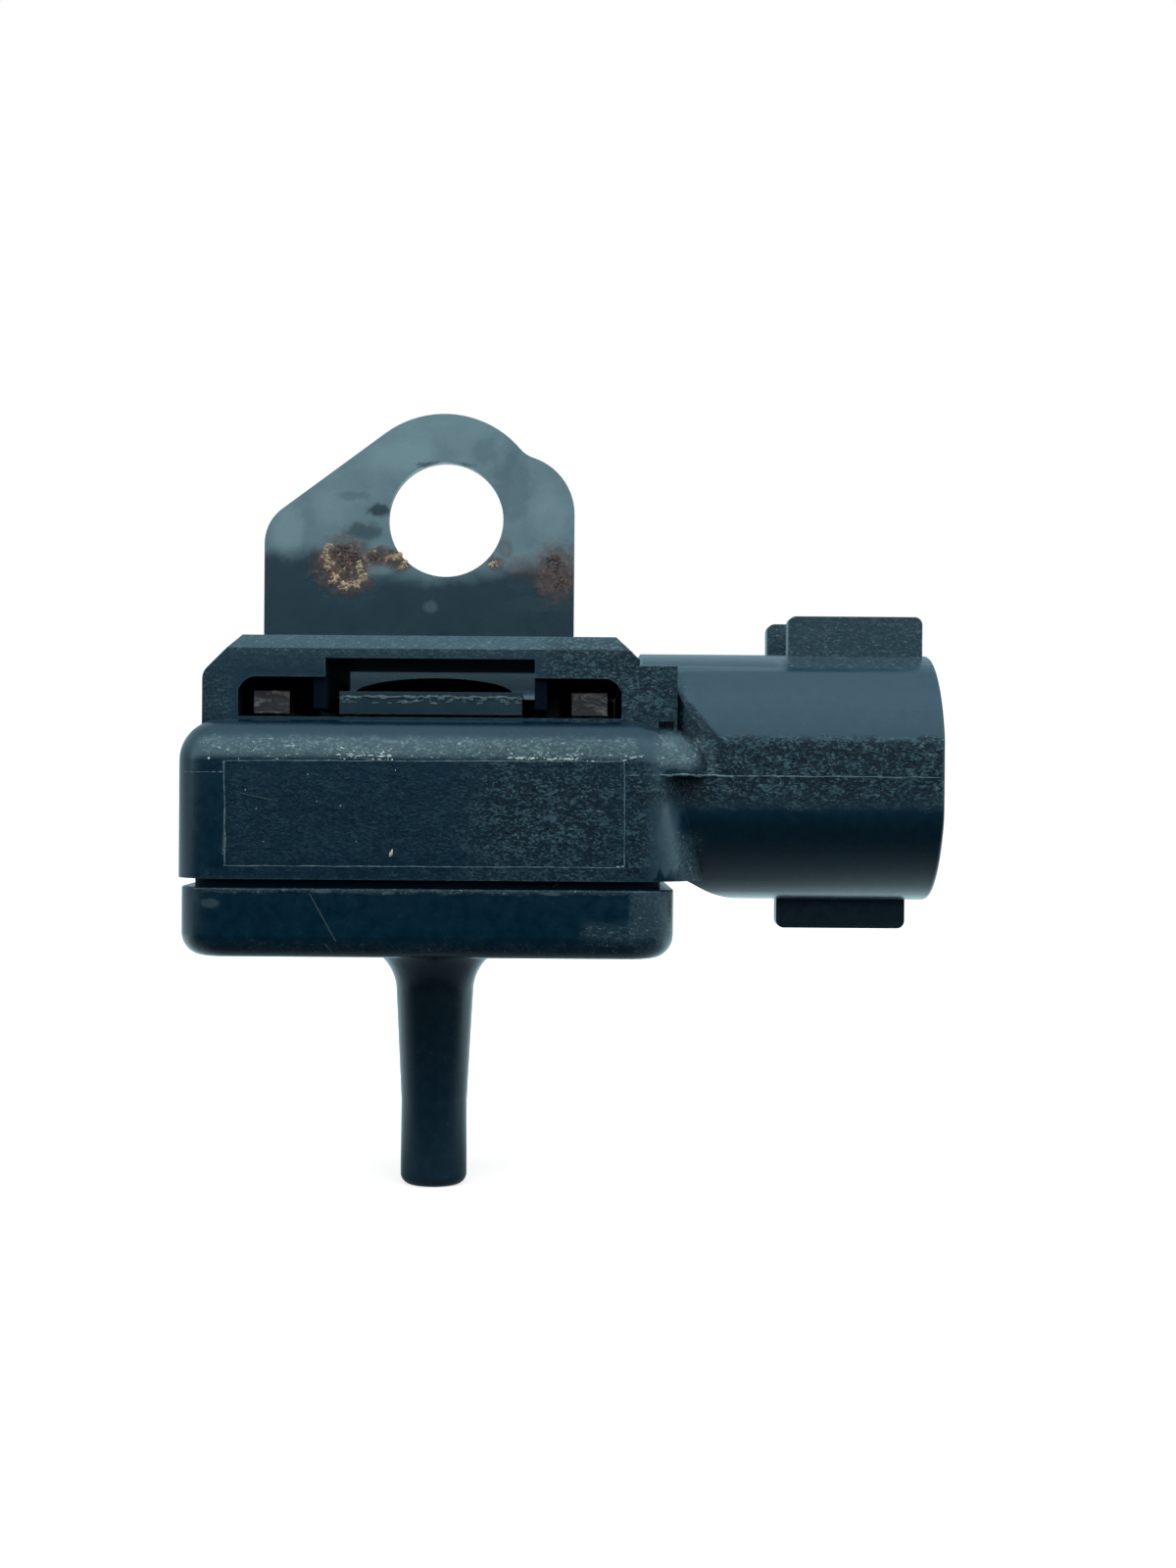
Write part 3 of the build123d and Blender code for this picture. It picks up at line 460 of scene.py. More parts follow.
housingPlaces = {
    # name: box in mm, softness, ragged border, strength of the leather there
    "leather": {
        "blockRight": (((7.0, 15.3), (-20.0, -18.0), (-14.8, -9.6)), 1.1, 0.6, 1.0),
        "blockLeft": (((-14.2, -12.2), (-20.0, -18.0), (-14.8, -11.0)), 0.5, 0.6, 0.45),
        "blockSill": (((-14.0, 7.0), (-20.0, -18.0), (-11.4, -9.9)), 0.4, 0.5, 0.18),
        "labelRight": (((2.6, 11.7), (-34.0, -18.0), (-23.8, -16.6)), 2.6, 2.0, 0.80),
        "labelLeft": (((-11.9, 6.0), (-26.0, -22.4), (-23.3, -17.2)), 0.6, 0.8, 0.18),
        "cornerRight": (((11.8, 13.3), (-24.0, -19.0), (-23.4, -17.0)), 0.5, 2.0, 0.7),
        "cornerTop": (((12.0, 17.5), (-24.0, -19.0), (-19.4, -17.9)), 0.4, 1.2, 0.85),
        "shroudBand": (((14.6, 31.4), (-21.0, -20.0), (-18.6, -15.35)), 0.25, 0.9, 0.9),
        "shroudBandLow": (((14.6, 31.4), (-22.5, -19.0), (-19.4, -17.6)), 0.75, 1.4, 0.85),
        "neck": (((15.0, 19.0), (-20.9, -14.0), (-17.7, -12.2), (0.83, 4.85)), 0.14, 0.5, 0.8),
    },
    # name: box in mm, softness, strength
    "worn": {
        "topFront": (((-13.5, 12.5), (-24.0, -22.2), (-16.8, -15.7)), 0.25, 1.0),
        "topGlintLeft": (((-5.4, -1.8), (-24.0, -22.8), (-16.9, -16.35)), 0.18, 1.0),
        "topGlintRight": (((4.8, 9.2), (-24.0, -22.8), (-17.0, -16.5)), 0.2, 1.0),
        "lump": (((13.7, 16.6), (-24.0, -19.0), (-17.3, -15.2)), 0.4, 0.8),
        "ribFaces": (((21.5, 31.4), (-21.0, -5.0), (-10.0, -7.6)), 0.1, 0.40),
        "ribFoot": (((21.5, 31.0), (-20.0, -5.0), (-11.0, -10.0)), 0.2, 0.45),
        "blockTop": (((-12.0, 13.0), (-19.7, -17.9), (-10.6, -9.2)), 0.25, 0.26),
        "rootFoot": (((14.6, 16.6), (-23.6, -17.0), (-24.2, -21.4)), 0.5, 0.5),
        "strip": (((-13.5, 13.0), (-24.0, -23.0), (-24.2, -23.5)), 0.15, 0.1),
    },
    # painted shade: places that light hardly reaches, darkened to the valley tone, rougher and with less
    # coat
    "paintedShade": {
        "railLeft": (((-7.3, -6.25), (-19.46, -5.0), (-14.4, -11.9)), 0.04, 0.95),
        "railRight": (((6.25, 7.3), (-19.46, -5.0), (-14.4, -11.9)), 0.04, 0.95),
        "tunnelRoof": (((-6.8, 6.8), (-19.3, -1.0), (-12.3, -10.5)), 0.06, 0.97),
        "underBlock": (((-14.5, 14.0), (-24.0, -18.5), (-15.6, -14.4)), 0.35, 0.36),
        "tunnelWings": (((-11.9, 11.9), (-19.3, -1.0), (-14.5, -11.7)), 0.06, 0.9),
        "recess": (((15.0, 19.0), (-20.9, -14.0), (-15.6, -11.6), (0.83, 4.85)), 0.18, 0.55),
    },
    # for flat places whose coat is worn away
    "dulled": {"bodyFront": (((-16.0, 13.2), (-24.0, -22.9), (-24.2, -16.9)), 0.3, 0.9)},
    # from x, z to x, z, width, strength
    "scratches": ((-11.0, -19.0, -9.1, -19.4, 0.05, 0.5), (-11.9, -19.9, -12.0, -22.6, 0.10, 0.45),
                  (12.3, -16.7, 12.9, -16.6, 0.10, 0.9)),
    "spots": (),
}
coverPlaces = {
    "leather": {},
    "worn": {
        "topEdge": (((-14.0, 14.0), (-24.0, -23.0), (-24.95, -24.6)), 0.1, 0.5),
        "rightScuff": (((9.4, 12.6), (-24.0, -23.0), (-27.9, -26.7)), 0.4, 0.4),
        # painted light: the right corner is lightened with the rub haze where the light from the front
        # right falls
        "rightCornerPaintedLight": (((12.1, 15.0), (-24.0, -20.0), (-28.0, -24.9)), 0.12, 0.32),
        "lowFront": (((-13.5, 13.5), (-24.0, -21.0), (-28.7, -27.9)), 0.3, 0.25),
    },
    "paintedShade": {},
    "dulled": {"coverFront": (((-16.0, 12.2), (-24.0, -22.9), (-28.6, -24.6)), 0.3, 0.9)},
    "scratches": ((-6.87, -24.95, -5.3, -27.75, 0.06, 0.55), (-5.9, -28.0, -5.6, -28.4, 0.07, 0.6)),
    # centre x, z, half width, half height, strength
    "spots": ((-12.8, -25.6, 0.55, 0.28, 0.35), (-6.1, -24.85, 0.5, 0.12, 0.6),
              (-2.2, -24.9, 0.4, 0.1, 0.6), (7.5, -24.9, 0.5, 0.1, 0.6)),
}


def plasticMaterial(name, cfg, places):
    # two tones of noise, leather wrinkles in boxes, haze and light specks in the worn bands (painted light
    # on the cover's corner), pale strokes and spots, rubbed edges, painted shade where light hardly
    # reaches, and places that have lost their shine
    material, tree, shader = newMaterial(name)
    grain = placeGroup(tree, grainGroup, Size=0.7, Fine=0.09)
    fold = placeGroup(tree, leatherGroup, Size=1.0)
    rub = placeGroup(tree, rubGroup, Radius=0.00020, Amount=0.5)
    color = mixColor(tree, mapRange(tree, grain["Mask"], 0.35, 0.75), cfg["deep"], cfg["worn"])
    height = product(tree, grain["Height"], cfg["grainHeight"])
    rough = mapRange(tree, grain["Mask"], 0.3, 0.7, cfg["roughLow"], cfg["roughHigh"])
    coat = 1.0  # the share of it that the places leave
    if places["leather"]:
        area = largest(tree, (product(tree, patchBox(tree, label, box, soft, ragged), strength)
                              for label, (box, soft, ragged, strength) in places["leather"].items()))
        skin = mixColor(tree, fold["Crest"], cfg["valley"], cfg["crest"])
        color = mixColor(tree, product(tree, area, cfg["leatherCover"]), color, skin)
        specks = product(tree, area, area, fold["Speck"], cfg["leatherSpeck"])
        color = mixColor(tree, specks, color, cfg["speck"])
        height = plus(tree, height, product(tree, area, fold["Height"]))
        rough = plus(tree, rough, product(tree, area, cfg["leatherRough"]))
        coat = calc(tree, "SUBTRACT", coat, product(tree, area, cfg["leatherDull"]))
    haze = mapRange(tree, fold["Crest"], 0.0, 1.0, cfg["hazeLow"], 1.0)
    for label, (box, soft, strength) in places["worn"].items():
        band = patchBox(tree, label, box, soft, 0.6)
        color = mixColor(tree, product(tree, band, haze, strength * cfg["haze"]), color, cfg["rub"])
        dots = product(tree, band, fold["Speck"], strength * cfg["dots"])
        color = mixColor(tree, dots, color, cfg["speck"])
        swell = product(tree, band, fold["Height"], cfg["wornHeight"] * strength)
        height = plus(tree, height, swell)
    onFront = patchBox(tree, "frontOnly", (anywhere, (-24.0, -21.5), anywhere), 0.1, 0.0)
    for fromX, fromZ, toX, toZ, width, strength in places["scratches"]:
        stroke = placeGroup(tree, scratchGroup, From=(fromX, 0.0, fromZ), To=(toX, 0.0, toZ), Width=width)
        stroke = product(tree, stroke["Mask"], onFront)
        color = mixColor(tree, product(tree, stroke, strength), color, cfg["rub"])
        height = calc(tree, "SUBTRACT", height, product(tree, stroke, cfg["scratchDepth"]))
    for *spot, strength in places["spots"]:
        pale = product(tree, spotMask(tree, *spot), onFront, strength)
        color = mixColor(tree, pale, color, cfg["rub"])
    color = mixColor(tree, rub["Mask"], color, cfg["rub"])
    # painted shade: the valley tone, more roughness and less coat where light hardly reaches
    for label, (box, soft, strength) in places["paintedShade"].items():
        dark = product(tree, patchBox(tree, label, box, soft, 0.25), strength)
        color = mixColor(tree, dark, color, cfg["valley"])
        shadeRoughening = product(tree, calc(tree, "POWER", dark, 4.0), cfg["paintedShadeRough"])
        rough = plus(tree, rough, shadeRoughening)
        coat = product(tree, coat, calc(tree, "SUBTRACT", 1.0, dark))
    for label, (box, soft, strength) in places["dulled"].items():
        dull = product(tree, patchBox(tree, label, box, soft, 0.4), strength)
        coat = product(tree, coat, calc(tree, "SUBTRACT", 1.0, dull))
    surface(tree, shader, cfg, color, rough, coat, height)
    return material


bracketFinish = {
    "paint": (0.060, 0.105, 0.122, 1.0),
    "shade": (0.022, 0.046, 0.058, 1.0),
    # painted shade of the upright below its painted sheen
    "low": (0.005, 0.019, 0.030, 1.0),
    "rust": (0.105, 0.050, 0.036, 1.0),
    "deepRust": (0.018, 0.012, 0.013, 1.0),
    "fleck": (0.55, 0.42, 0.24, 1.0),
    "bare": (0.22, 0.22, 0.21, 1.0),
    "paleTone": (0.115, 0.180, 0.200, 1.0),
    "soot": (0.006, 0.014, 0.020, 1.0),
    "foldPaintedLight": (0.065, 0.115, 0.150, 1.0),
    "roughLow": 0.20,
    "roughHigh": 0.30,
    "wornRough": 0.35,
    "specular": 0.40,
    "coatRoughness": 0.25,
    "coatIor": 1.75,
    "bumpStrength": 0.7,
    "bumpDepth": 0.00006,
    "grain": 0.12,
    "rustHeight": 1.2,
    "tornHeight": 3.0,
    "paintedSheenFrom": -4.9,  # z where the painted sheen on the upper part starts
    "paintedSheenTo": -3.3,
    "paintedSheenShake": 1.6,
    # x from, x to in m, and the rise in mm that is taken off there before the painted sheen's border is
    # looked for
    "dropLeft": (-0.0088, -0.0068, -1.9, 0.0),
    "dropRight": (0.002, 0.006, 0.0, -0.9),
    # name: box in mm, softness, ragged border
    "places": {
        "upright": ((anywhere, (-0.6, 2.0), (-10.5, 9.0)), 0.2, 0.1),
        "nearSide": ((anywhere, (-0.6, 0.7), (-10.5, 9.0)), 0.2, 0.1),
        "shearedEnds": ((anywhere, (-19.0, -18.44), (-14.5, -12.7)), 0.05, 0.2),
        "notchRoots": ((anywhere, (-17.0, -5.0), (-14.4, -12.7)), 0.3, 0.3),
        "fold": ((anywhere, (-4.5, 1.0), (-13.2, -10.6)), 0.3, 0.2),
    },
    "spotRagged": {"rustSpots": 1.3, "darkSpots": 1.9, "paleSpots": 0.9},
    # centre x, z, half width, half height, strength
    "rustSpots": ((-7.0, -3.2, 1.9, 1.8, 0.95), (-4.4, -2.6, 1.7, 0.65, 0.9), (-3.2, -3.0, 0.8, 0.6, 0.9),
                  (7.7, -3.6, 1.5, 1.9, 0.75), (5.4, -3.2, 1.3, 0.7, 0.4), (3.5, -3.0, 0.6, 0.5, 0.7),
                  (4.2, -1.9, 0.5, 0.7, 0.4)),
    # the same for soot-dark places
    "darkSpots": ((-9.0, -3.1, 0.5, 0.9, 0.85), (-5.8, -0.9, 1.3, 0.6, 0.7), (-6.6, -5.35, 1.5, 0.4, 0.9),
                  (-5.2, -4.7, 0.6, 0.5, 0.7), (-4.65, 0.6, 0.85, 0.42, 0.9), (5.5, -4.1, 1.0, 0.6, 0.9),
                  (7.0, -5.8, 2.0, 0.45, 0.75), (2.7, 4.7, 0.9, 0.8, 0.22), (4.6, 2.4, 1.3, 2.4, 0.3),
                  (0.0, 3.75, 1.9, 0.22, 0.8), (-6.4, 1.6, 1.2, 0.3, 0.3)),
    # and for lighter, cleaner ones
    "paleSpots": ((-10.9, -0.9, 1.0, 1.8, 0.55), (-3.0, 4.4, 2.2, 1.0, 0.35), (-8.0, 0.7, 1.2, 1.0, 0.3),
                  (7.2, 0.0, 1.2, 2.0, 0.4), (-4.9, -3.6, 1.2, 0.3, 0.5), (-1.0, -6.1, 0.5, 0.4, 0.3)),
}


def bracketMaterial(name, cfg):
    # black paint, cloudy, with a painted sheen on the upper part of the upright and painted shade below it,
    # dark and pale places, rust with tan flecks, torn bare ends on the outer prongs, and painted light on
    # the fold at the back
    material, tree, shader = newMaterial(name)
    grain = placeGroup(tree, grainGroup, Size=0.9, Fine=0.12)
    rub = placeGroup(tree, rubGroup, Radius=0.0002, Amount=0.35)
    place = objectPlace(tree)
    split = axes(tree, place)

    def patch(label):
        return patchBox(tree, label, *cfg["places"][label])

    def spots(label):
        # the largest of the masks of a list of spots
        return product(tree, largest(tree, (
            product(tree, spotMask(tree, *spot, cfg["spotRagged"][label], 0.45), strength)
            for *spot, strength in cfg[label])), nearSide)

    clouds = noise(tree, place, 330.0, 4.0, 0.55, 0.6)
    tone = plus(tree, product(tree, mapRange(tree, grain["Mask"], 0.3, 0.7), cfg["grain"]),
                mapRange(tree, clouds, 0.32, 0.62, 0.0, 0.9))
    upper = mixColor(tree, tone, cfg["shade"], cfg["paint"])
    # painted sheen: above a ragged level the upright takes the lit paint tones, below it the dark low tone
    # as painted shade
    drop = plus(tree, mapRange(tree, split["X"], *cfg["dropLeft"], True),
                mapRange(tree, split["X"], *cfg["dropRight"], True))
    level = plus(tree, product(tree, split["Z"], 1000.0), product(tree, clouds, cfg["paintedSheenShake"]), drop)
    middle = 0.5 * cfg["paintedSheenShake"]
    paintedSheen = mapRange(tree, level, cfg["paintedSheenFrom"] + middle, cfg["paintedSheenTo"] + middle, smooth=True)
    paintedSheen = product(tree, paintedSheen, patch("upright"))
    color = mixColor(tree, paintedSheen, cfg["low"], upper)
    nearSide = patch("nearSide")
    color = mixColor(tree, spots("paleSpots"), color, cfg["paleTone"])
    sooty = spots("darkSpots")
    color = mixColor(tree, sooty, color, cfg["soot"])
    flecks = noise(tree, place, 2100.0, 5.0, 0.7)
    rusty = spots("rustSpots")
    crust = mixColor(tree, mapRange(tree, flecks, 0.38, 0.58), cfg["deepRust"], cfg["rust"])
    color = mixColor(tree, rusty, color, crust)
    fewer = mapRange(tree, split["X"], 0.0, 0.004, 1.0, 0.25)  # to the right
    tan = product(tree, calc(tree, "POWER", rusty, 3.0), mapRange(tree, flecks, 0.56, 0.66), fewer)
    color = mixColor(tree, tan, color, cfg["fleck"])
    height = product(tree, grain["Height"], cfg["grain"])
    height = plus(tree, height, product(tree, rusty, flecks, cfg["rustHeight"]))
    outer = mapRange(tree, calc(tree, "ABSOLUTE", split["X"]), 0.007, 0.0075)
    sheared = product(tree, patch("shearedEnds"), outer)
    torn = noise(tree, scaledPlace(tree, (900.0, 2500.0, 2300.0)), 1.0, 5.0, 0.68, 1.0)
    steel = mixColor(tree, mapRange(tree, torn, 0.53, 0.74), cfg["deepRust"], cfg["bare"])
    color = mixColor(tree, sheared, color, steel)
    height = plus(tree, height, product(tree, sheared, torn, cfg["tornHeight"]))
    color = mixColor(tree, product(tree, patch("notchRoots"), outer), color, cfg["rust"])
    # painted light: the fold seen through the tunnel is lightened where light from above reaches and is
    # reflected
    color = mixColor(tree, patch("fold"), color, cfg["foldPaintedLight"])
    color = mixColor(tree, rub["Mask"], color, cfg["rust"])
    worn = largest(tree, (rusty, sooty, sheared))
    # the coat follows the painted sheen
    sheenCoat = product(tree, paintedSheen, calc(tree, "SUBTRACT", 1.0, worn))
    rough = mapRange(tree, clouds, 0.3, 0.7, cfg["roughLow"], cfg["roughHigh"])
    rough = plus(tree, rough, product(tree, worn, cfg["wornRough"]))
    surface(tree, shader, cfg, color, rough, sheenCoat, height)
    return material


def plainMaterial(name, dark, light, roughness, metallic=0.0, size=0.3, depth=0.00001, specular=0.5):
    # two tones of noise, with the roughness and a fine bump from the same noise
    material, tree, shader = newMaterial(name)
    grain = placeGroup(tree, grainGroup, Size=size, Fine=size * 0.2)
    tone = mapRange(tree, grain["Mask"], 0.32, 0.68)
    bump = addNode(tree, "ShaderNodeBump", {"Strength": 0.5, "Distance": depth, "Height": grain["Height"]})
    fill(tree, shader, {
        "Base Color": mixColor(tree, tone, dark + (1.0,), light + (1.0,)),
        "Roughness": mapRange(tree, grain["Mask"], 0.3, 0.7, roughness * 0.8, roughness),
        "Metallic": metallic, "Specular IOR Level": specular, "Normal": bump.outputs[0]})
    return material


# the three shown parts
dressSettings = {
    "mergeWithin": 2e-6,
    "flatDegrees": 1.0,
    "edgeDegrees": 35.0,
    "segments": 2,
    "edges": {"sensor_housing": 0.00012, "base_cover": 0.00012, "mounting_bracket": 0.0001},
}


def dressCopy(cfg, nodeName, pieceName, material):
    # the CAD node's mesh, merged and dissolved to plain faces, with its sharp edges rounded
    mesh = bpy.data.meshes.new(pieceName)
    work = bmesh.new()
    work.from_mesh(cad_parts[nodeName].data)
    bmesh.ops.remove_doubles(work, verts=work.verts, dist=cfg["mergeWithin"])
    bmesh.ops.dissolve_limit(work, angle_limit=math.radians(cfg["flatDegrees"]), verts=work.verts,
                             edges=work.edges)
    for face in work.faces:
        face.smooth = True
    work.to_mesh(mesh)
    work.free()
    old = mesh.attributes.get("custom_normal")
    if old:
        mesh.attributes.remove(old)
    mesh.materials.clear()
    mesh.materials.append(material)
    piece = newObject(pieceName, mesh)
    bevel = piece.modifiers.new("softEdges", "BEVEL")
    bevel.width = cfg["edges"][nodeName]
    bevel.segments = cfg["segments"]
    bevel.limit_method = "ANGLE"
    bevel.angle_limit = math.radians(cfg["edgeDegrees"])
    normals = piece.modifiers.new("flatFaces", "WEIGHTED_NORMAL")
    normals.keep_sharp = True
    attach(piece, "root")
    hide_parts(nodeName)


housingPlastic = plasticMaterial("housingPlastic", plasticFinish, housingPlaces)
coverPlastic = plasticMaterial("coverPlastic", plasticFinish, coverPlaces)
bracketPaint = bracketMaterial("bracketPaint", bracketFinish)
dressCopy(dressSettings, "sensor_housing", "sensorHousing", housingPlastic)
dressCopy(dressSettings, "base_cover", "baseCover", coverPlastic)
dressCopy(dressSettings, "mounting_bracket", "mountingBracket", bracketPaint)
print("housing, cover and bracket dressed")


# fine moulding flash, chips and rust crust, as real shapes
def addPiece(name, points, faces, material, slotName):
    # points in mm; the piece rides with the rest, its place in its mesh
    mesh = bpy.data.meshes.new(name)
    mesh.from_pydata((np.asarray(points) * mm).tolist(), [], faces)
    mesh.update()
    mesh.polygons.foreach_set("use_smooth", np.ones(len(mesh.polygons), dtype=bool))
    mesh.materials.append(material)
    piece = newObject(name, mesh)
    work = bmesh.new()
    work.from_mesh(mesh)
    bmesh.ops.recalc_face_normals(work, faces=work.faces)
    work.to_mesh(mesh)
    work.free()
    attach(piece, "root")


def wave(count, step, seed):
    # smooth random values from 0 to 1: random numbers every few points, joined by straight lines
    rng = np.random.default_rng(seed)
    knots = rng.random(max(3, int(count / step) + 2))
    return np.interp(np.linspace(0.0, len(knots) - 1.0, count), np.arange(len(knots)), knots)


def ridge(path, outward, width, height, seed, spacing=0.12):
    # a thin raised line: point(i, j) = path i + side i * u j * width i + outward i * v j * height i,
    # over a closed six-cornered section, with width and height uneven along the path
    path = np.asarray(path, dtype=float)
    outward = np.asarray(outward, dtype=float)
    length = np.concatenate(([0.0], np.cumsum(np.linalg.norm(np.diff(path, axis=0), axis=1))))
    count = max(4, int(length[-1] / spacing))
    at = np.linspace(0.0, length[-1], count)
    line = np.stack([np.interp(at, length, path[:, axis]) for axis in range(3)], axis=1)
    out = np.stack([np.interp(at, length, outward[:, axis]) for axis in range(3)], axis=1)
    out /= np.linalg.norm(out, axis=1)[:, None]
    ahead = np.gradient(line, axis=0)
    side = np.cross(ahead, out)
    side /= np.linalg.norm(side, axis=1)[:, None]
    wide = width * (0.6 + 0.8 * wave(count, 3, seed))
    high = height * (1.9 * wave(count, 4, seed + 1) - 0.35)
    drift = 0.5 * width * (wave(count, 7, seed + 2) - 0.5)
    u = np.array([-0.5, -0.28, 0.0, 0.28, 0.5, 0.0])
    v = np.array([-0.5, 0.6, 1.0, 0.6, -0.5, -0.9])
    points = (line[:, None, :] + side[:, None, :] * (u[None, :] * wide[:, None] + drift[:, None])[..., None]
              + out[:, None, :] * (v[None, :] * high[:, None])[..., None])
    ring = len(u)
    first, corner = np.meshgrid(np.arange(count - 1), np.arange(ring), indexing="ij")
    after = (corner + 1) % ring
    quads = np.stack([first * ring + corner, first * ring + after, (first + 1) * ring + after,
                      (first + 1) * ring + corner], axis=-1).reshape(-1, 4)
    ends = [list(range(ring))[::-1], list(range((count - 1) * ring, count * ring))]
    return points.reshape(-1, 3), [list(q) for q in quads.tolist()] + ends


def crumb(centre, outward, along, sizes, seed, corners=14, rings=4):
    # a ragged scab: radius(angle) = ellipse * (1 + noise), height(r) = top * (1 - r * r) * noise,
    # closed by one point below the surface
    rng = np.random.default_rng(seed)
    centre = np.asarray(centre, dtype=float)
    out = np.asarray(outward, dtype=float) / np.linalg.norm(outward)
    ahead = np.asarray(along, dtype=float) / np.linalg.norm(along)
    side = np.cross(out, ahead)
    angle = np.linspace(0.0, 2 * math.pi, corners, endpoint=False)
    reach = 1.0 + 0.45 * (rng.random(corners) - 0.5)
    r = np.linspace(0.0, 1.0, rings + 1)[1:]
    lift = sizes[2] * (1.0 - r[:, None] ** 2) * (0.6 + 0.8 * rng.random((rings, corners))) - 0.02
    flat = (ahead * (sizes[0] * np.cos(angle) * reach)[:, None]
            + side * (sizes[1] * np.sin(angle) * reach)[:, None])
    grid = centre + r[:, None, None] * flat[None] + lift[..., None] * out
    points = np.concatenate([(centre + out * sizes[2])[None], grid.reshape(-1, 3),
                             (centre - out * 0.05)[None]])
    here = np.arange(corners)
    after = (here + 1) % corners
    rows = 1 + corners * np.arange(rings)[:, None]  # first point of each ring
    fan = np.stack([0 * here, 1 + here, 1 + after], axis=1)
    quads = np.stack([rows[:-1] + here, rows[1:] + here, rows[1:] + after, rows[:-1] + after], axis=-1)
    under = np.stack([rows[-1] + after, rows[-1] + here, 0 * here + len(points) - 1], axis=1)
    return points, fan.tolist() + quads.reshape(-1, 4).tolist() + under.tolist()


def gather(shapes):
    # several shapes as one list of points and faces
    points, faces, start = [], [], 0
    for shapePoints, shapeFaces in shapes:
        points.append(shapePoints)
        faces.extend([[index + start for index in face] for face in shapeFaces])
        start += len(shapePoints)
    return np.concatenate(points), faces


flashSettings = {
    "front": -23.5,  # y of the body's front
    "label": (-11.98, 11.77, -17.12, -23.36),  # left, right, top and bottom of the bare field
    "partingZ": -17.8,
    "bodyCorner": (12.075, 3.0),  # x of its centre, and its radius
    "shroud": (-20.5, (17.5, 22.0, 27.0, 31.0)),  # y of its front and the x of each point along it
    "lumpPlan": (17.175, -22.9, 4.0),  # reach, front and corner of the swelling at the connector's root
    "width": 0.075,
    "height": 0.022,
    "pale": ((0.012, 0.034, 0.044), (0.10, 0.16, 0.175)),
}


def cornerArc(centre, bend, lowDegrees, highDegrees, count, side=1.0):
    # round an upright corner: normal = (side * sin a, -cos a, 0), point = centre + bend * normal
    a = np.radians(np.linspace(lowDegrees, highDegrees, count))
    normals = np.stack([side * np.sin(a), -np.cos(a), 0.0 * a], axis=1)
    return (np.asarray(centre) + bend * normals).tolist(), normals.tolist()


def makeFlash(cfg):
    # flash lines: the frame of the bare label field and the parting line of the mould
    front, out, part = cfg["front"], (0.0, -1.0, 0.0), cfg["partingZ"]
    left, right, top, low = cfg["label"]
    middle, bend = cfg["bodyCorner"]
    corner, cornerOut = cornerArc((middle, front + bend, part), bend, 0.0, 78.0, 9)
    leftCorner, leftOut = cornerArc((-middle, front + bend, part), bend, 0.0, 60.0, 7, -1.0)
    shroudY, shroudX = cfg["shroud"]
    reach, setback, bend = cfg["lumpPlan"]
    lump, lumpOut = cornerArc((reach - bend, setback + bend, part + 0.03), bend, 10.0, 66.0, 9)
    lines = [  # path, outward at each of its points, factors of width and height, seed
        ([(left, front, top), (right, front, top + 0.12)], [out] * 2, 1.0, 1.0, 3),
        ([(left, front, top), (left + 0.1, front, low)], [out] * 2, 1.5, 1.0, 5),
        ([(right + 0.05, front, low), (right, front, top), (right, front, -16.9)], [out] * 3, 1.0, 0.8, 7),
        ([(left, front, low), (right, front, low + 0.06)], [out] * 2, 1.0, 1.3, 9),
        ([(11.8, front, part)] + corner, [out] + cornerOut, 1.3, 1.3, 11),
        (leftCorner, leftOut, 1.0, 0.6, 13),
        ([(x, shroudY, part) for x in shroudX], [out] * len(shroudX), 1.4, 2.6, 15),
        (lump + [(18.5, shroudY, part)], lumpOut + [out], 2.6, 3.2, 17, 0.08),  # and spacing
    ]
    return gather([ridge(path, outward, cfg["width"] * wide, cfg["height"] * high, *rest)
                   for path, outward, wide, high, *rest in lines])


chipSettings = {
    "front": flashSettings["front"],
    "topRound": (2.5, -14.59),  # radius and top of the body's upper edge
    "proud": 0.05,
    # single crumbs on the front: x, z, radius
    "specks": ((-10.7, -18.85, 0.06), (-10.05, -19.95, 0.05), (-6.45, -19.5, 0.05), (-5.05, -19.75, 0.06),
               (-7.0, -17.9, 0.05), (-1.8, -17.62, 0.06), (-9.6, -21.9, 0.05), (-4.1, -21.85, 0.05),
               (-12.9, -17.0, 0.08), (6.6, -18.6, 0.05), (9.3, -19.1, 0.05)),
    # torn skin along the lower edge of the rounded front: x from, x to, z, slope, number of flakes
    "torn": ((-5.3, -2.1, -16.72, -0.03, 26), (4.9, 9.0, -16.84, -0.02, 34), (12.1, 12.9, -16.8, 0.12, 9),
             (11.4, 11.85, -23.3, 0.25, 4)),
    # and higher up, where it curls back: x from, x to, number
    "curled": ((-5.2, -2.0, 30), (4.8, 9.2, 34), (-12.0, -5.5, 10), (9.2, 12.0, 8)),
    "bright": ((0.16, 0.26, 0.28), (0.62, 0.74, 0.74)),
}


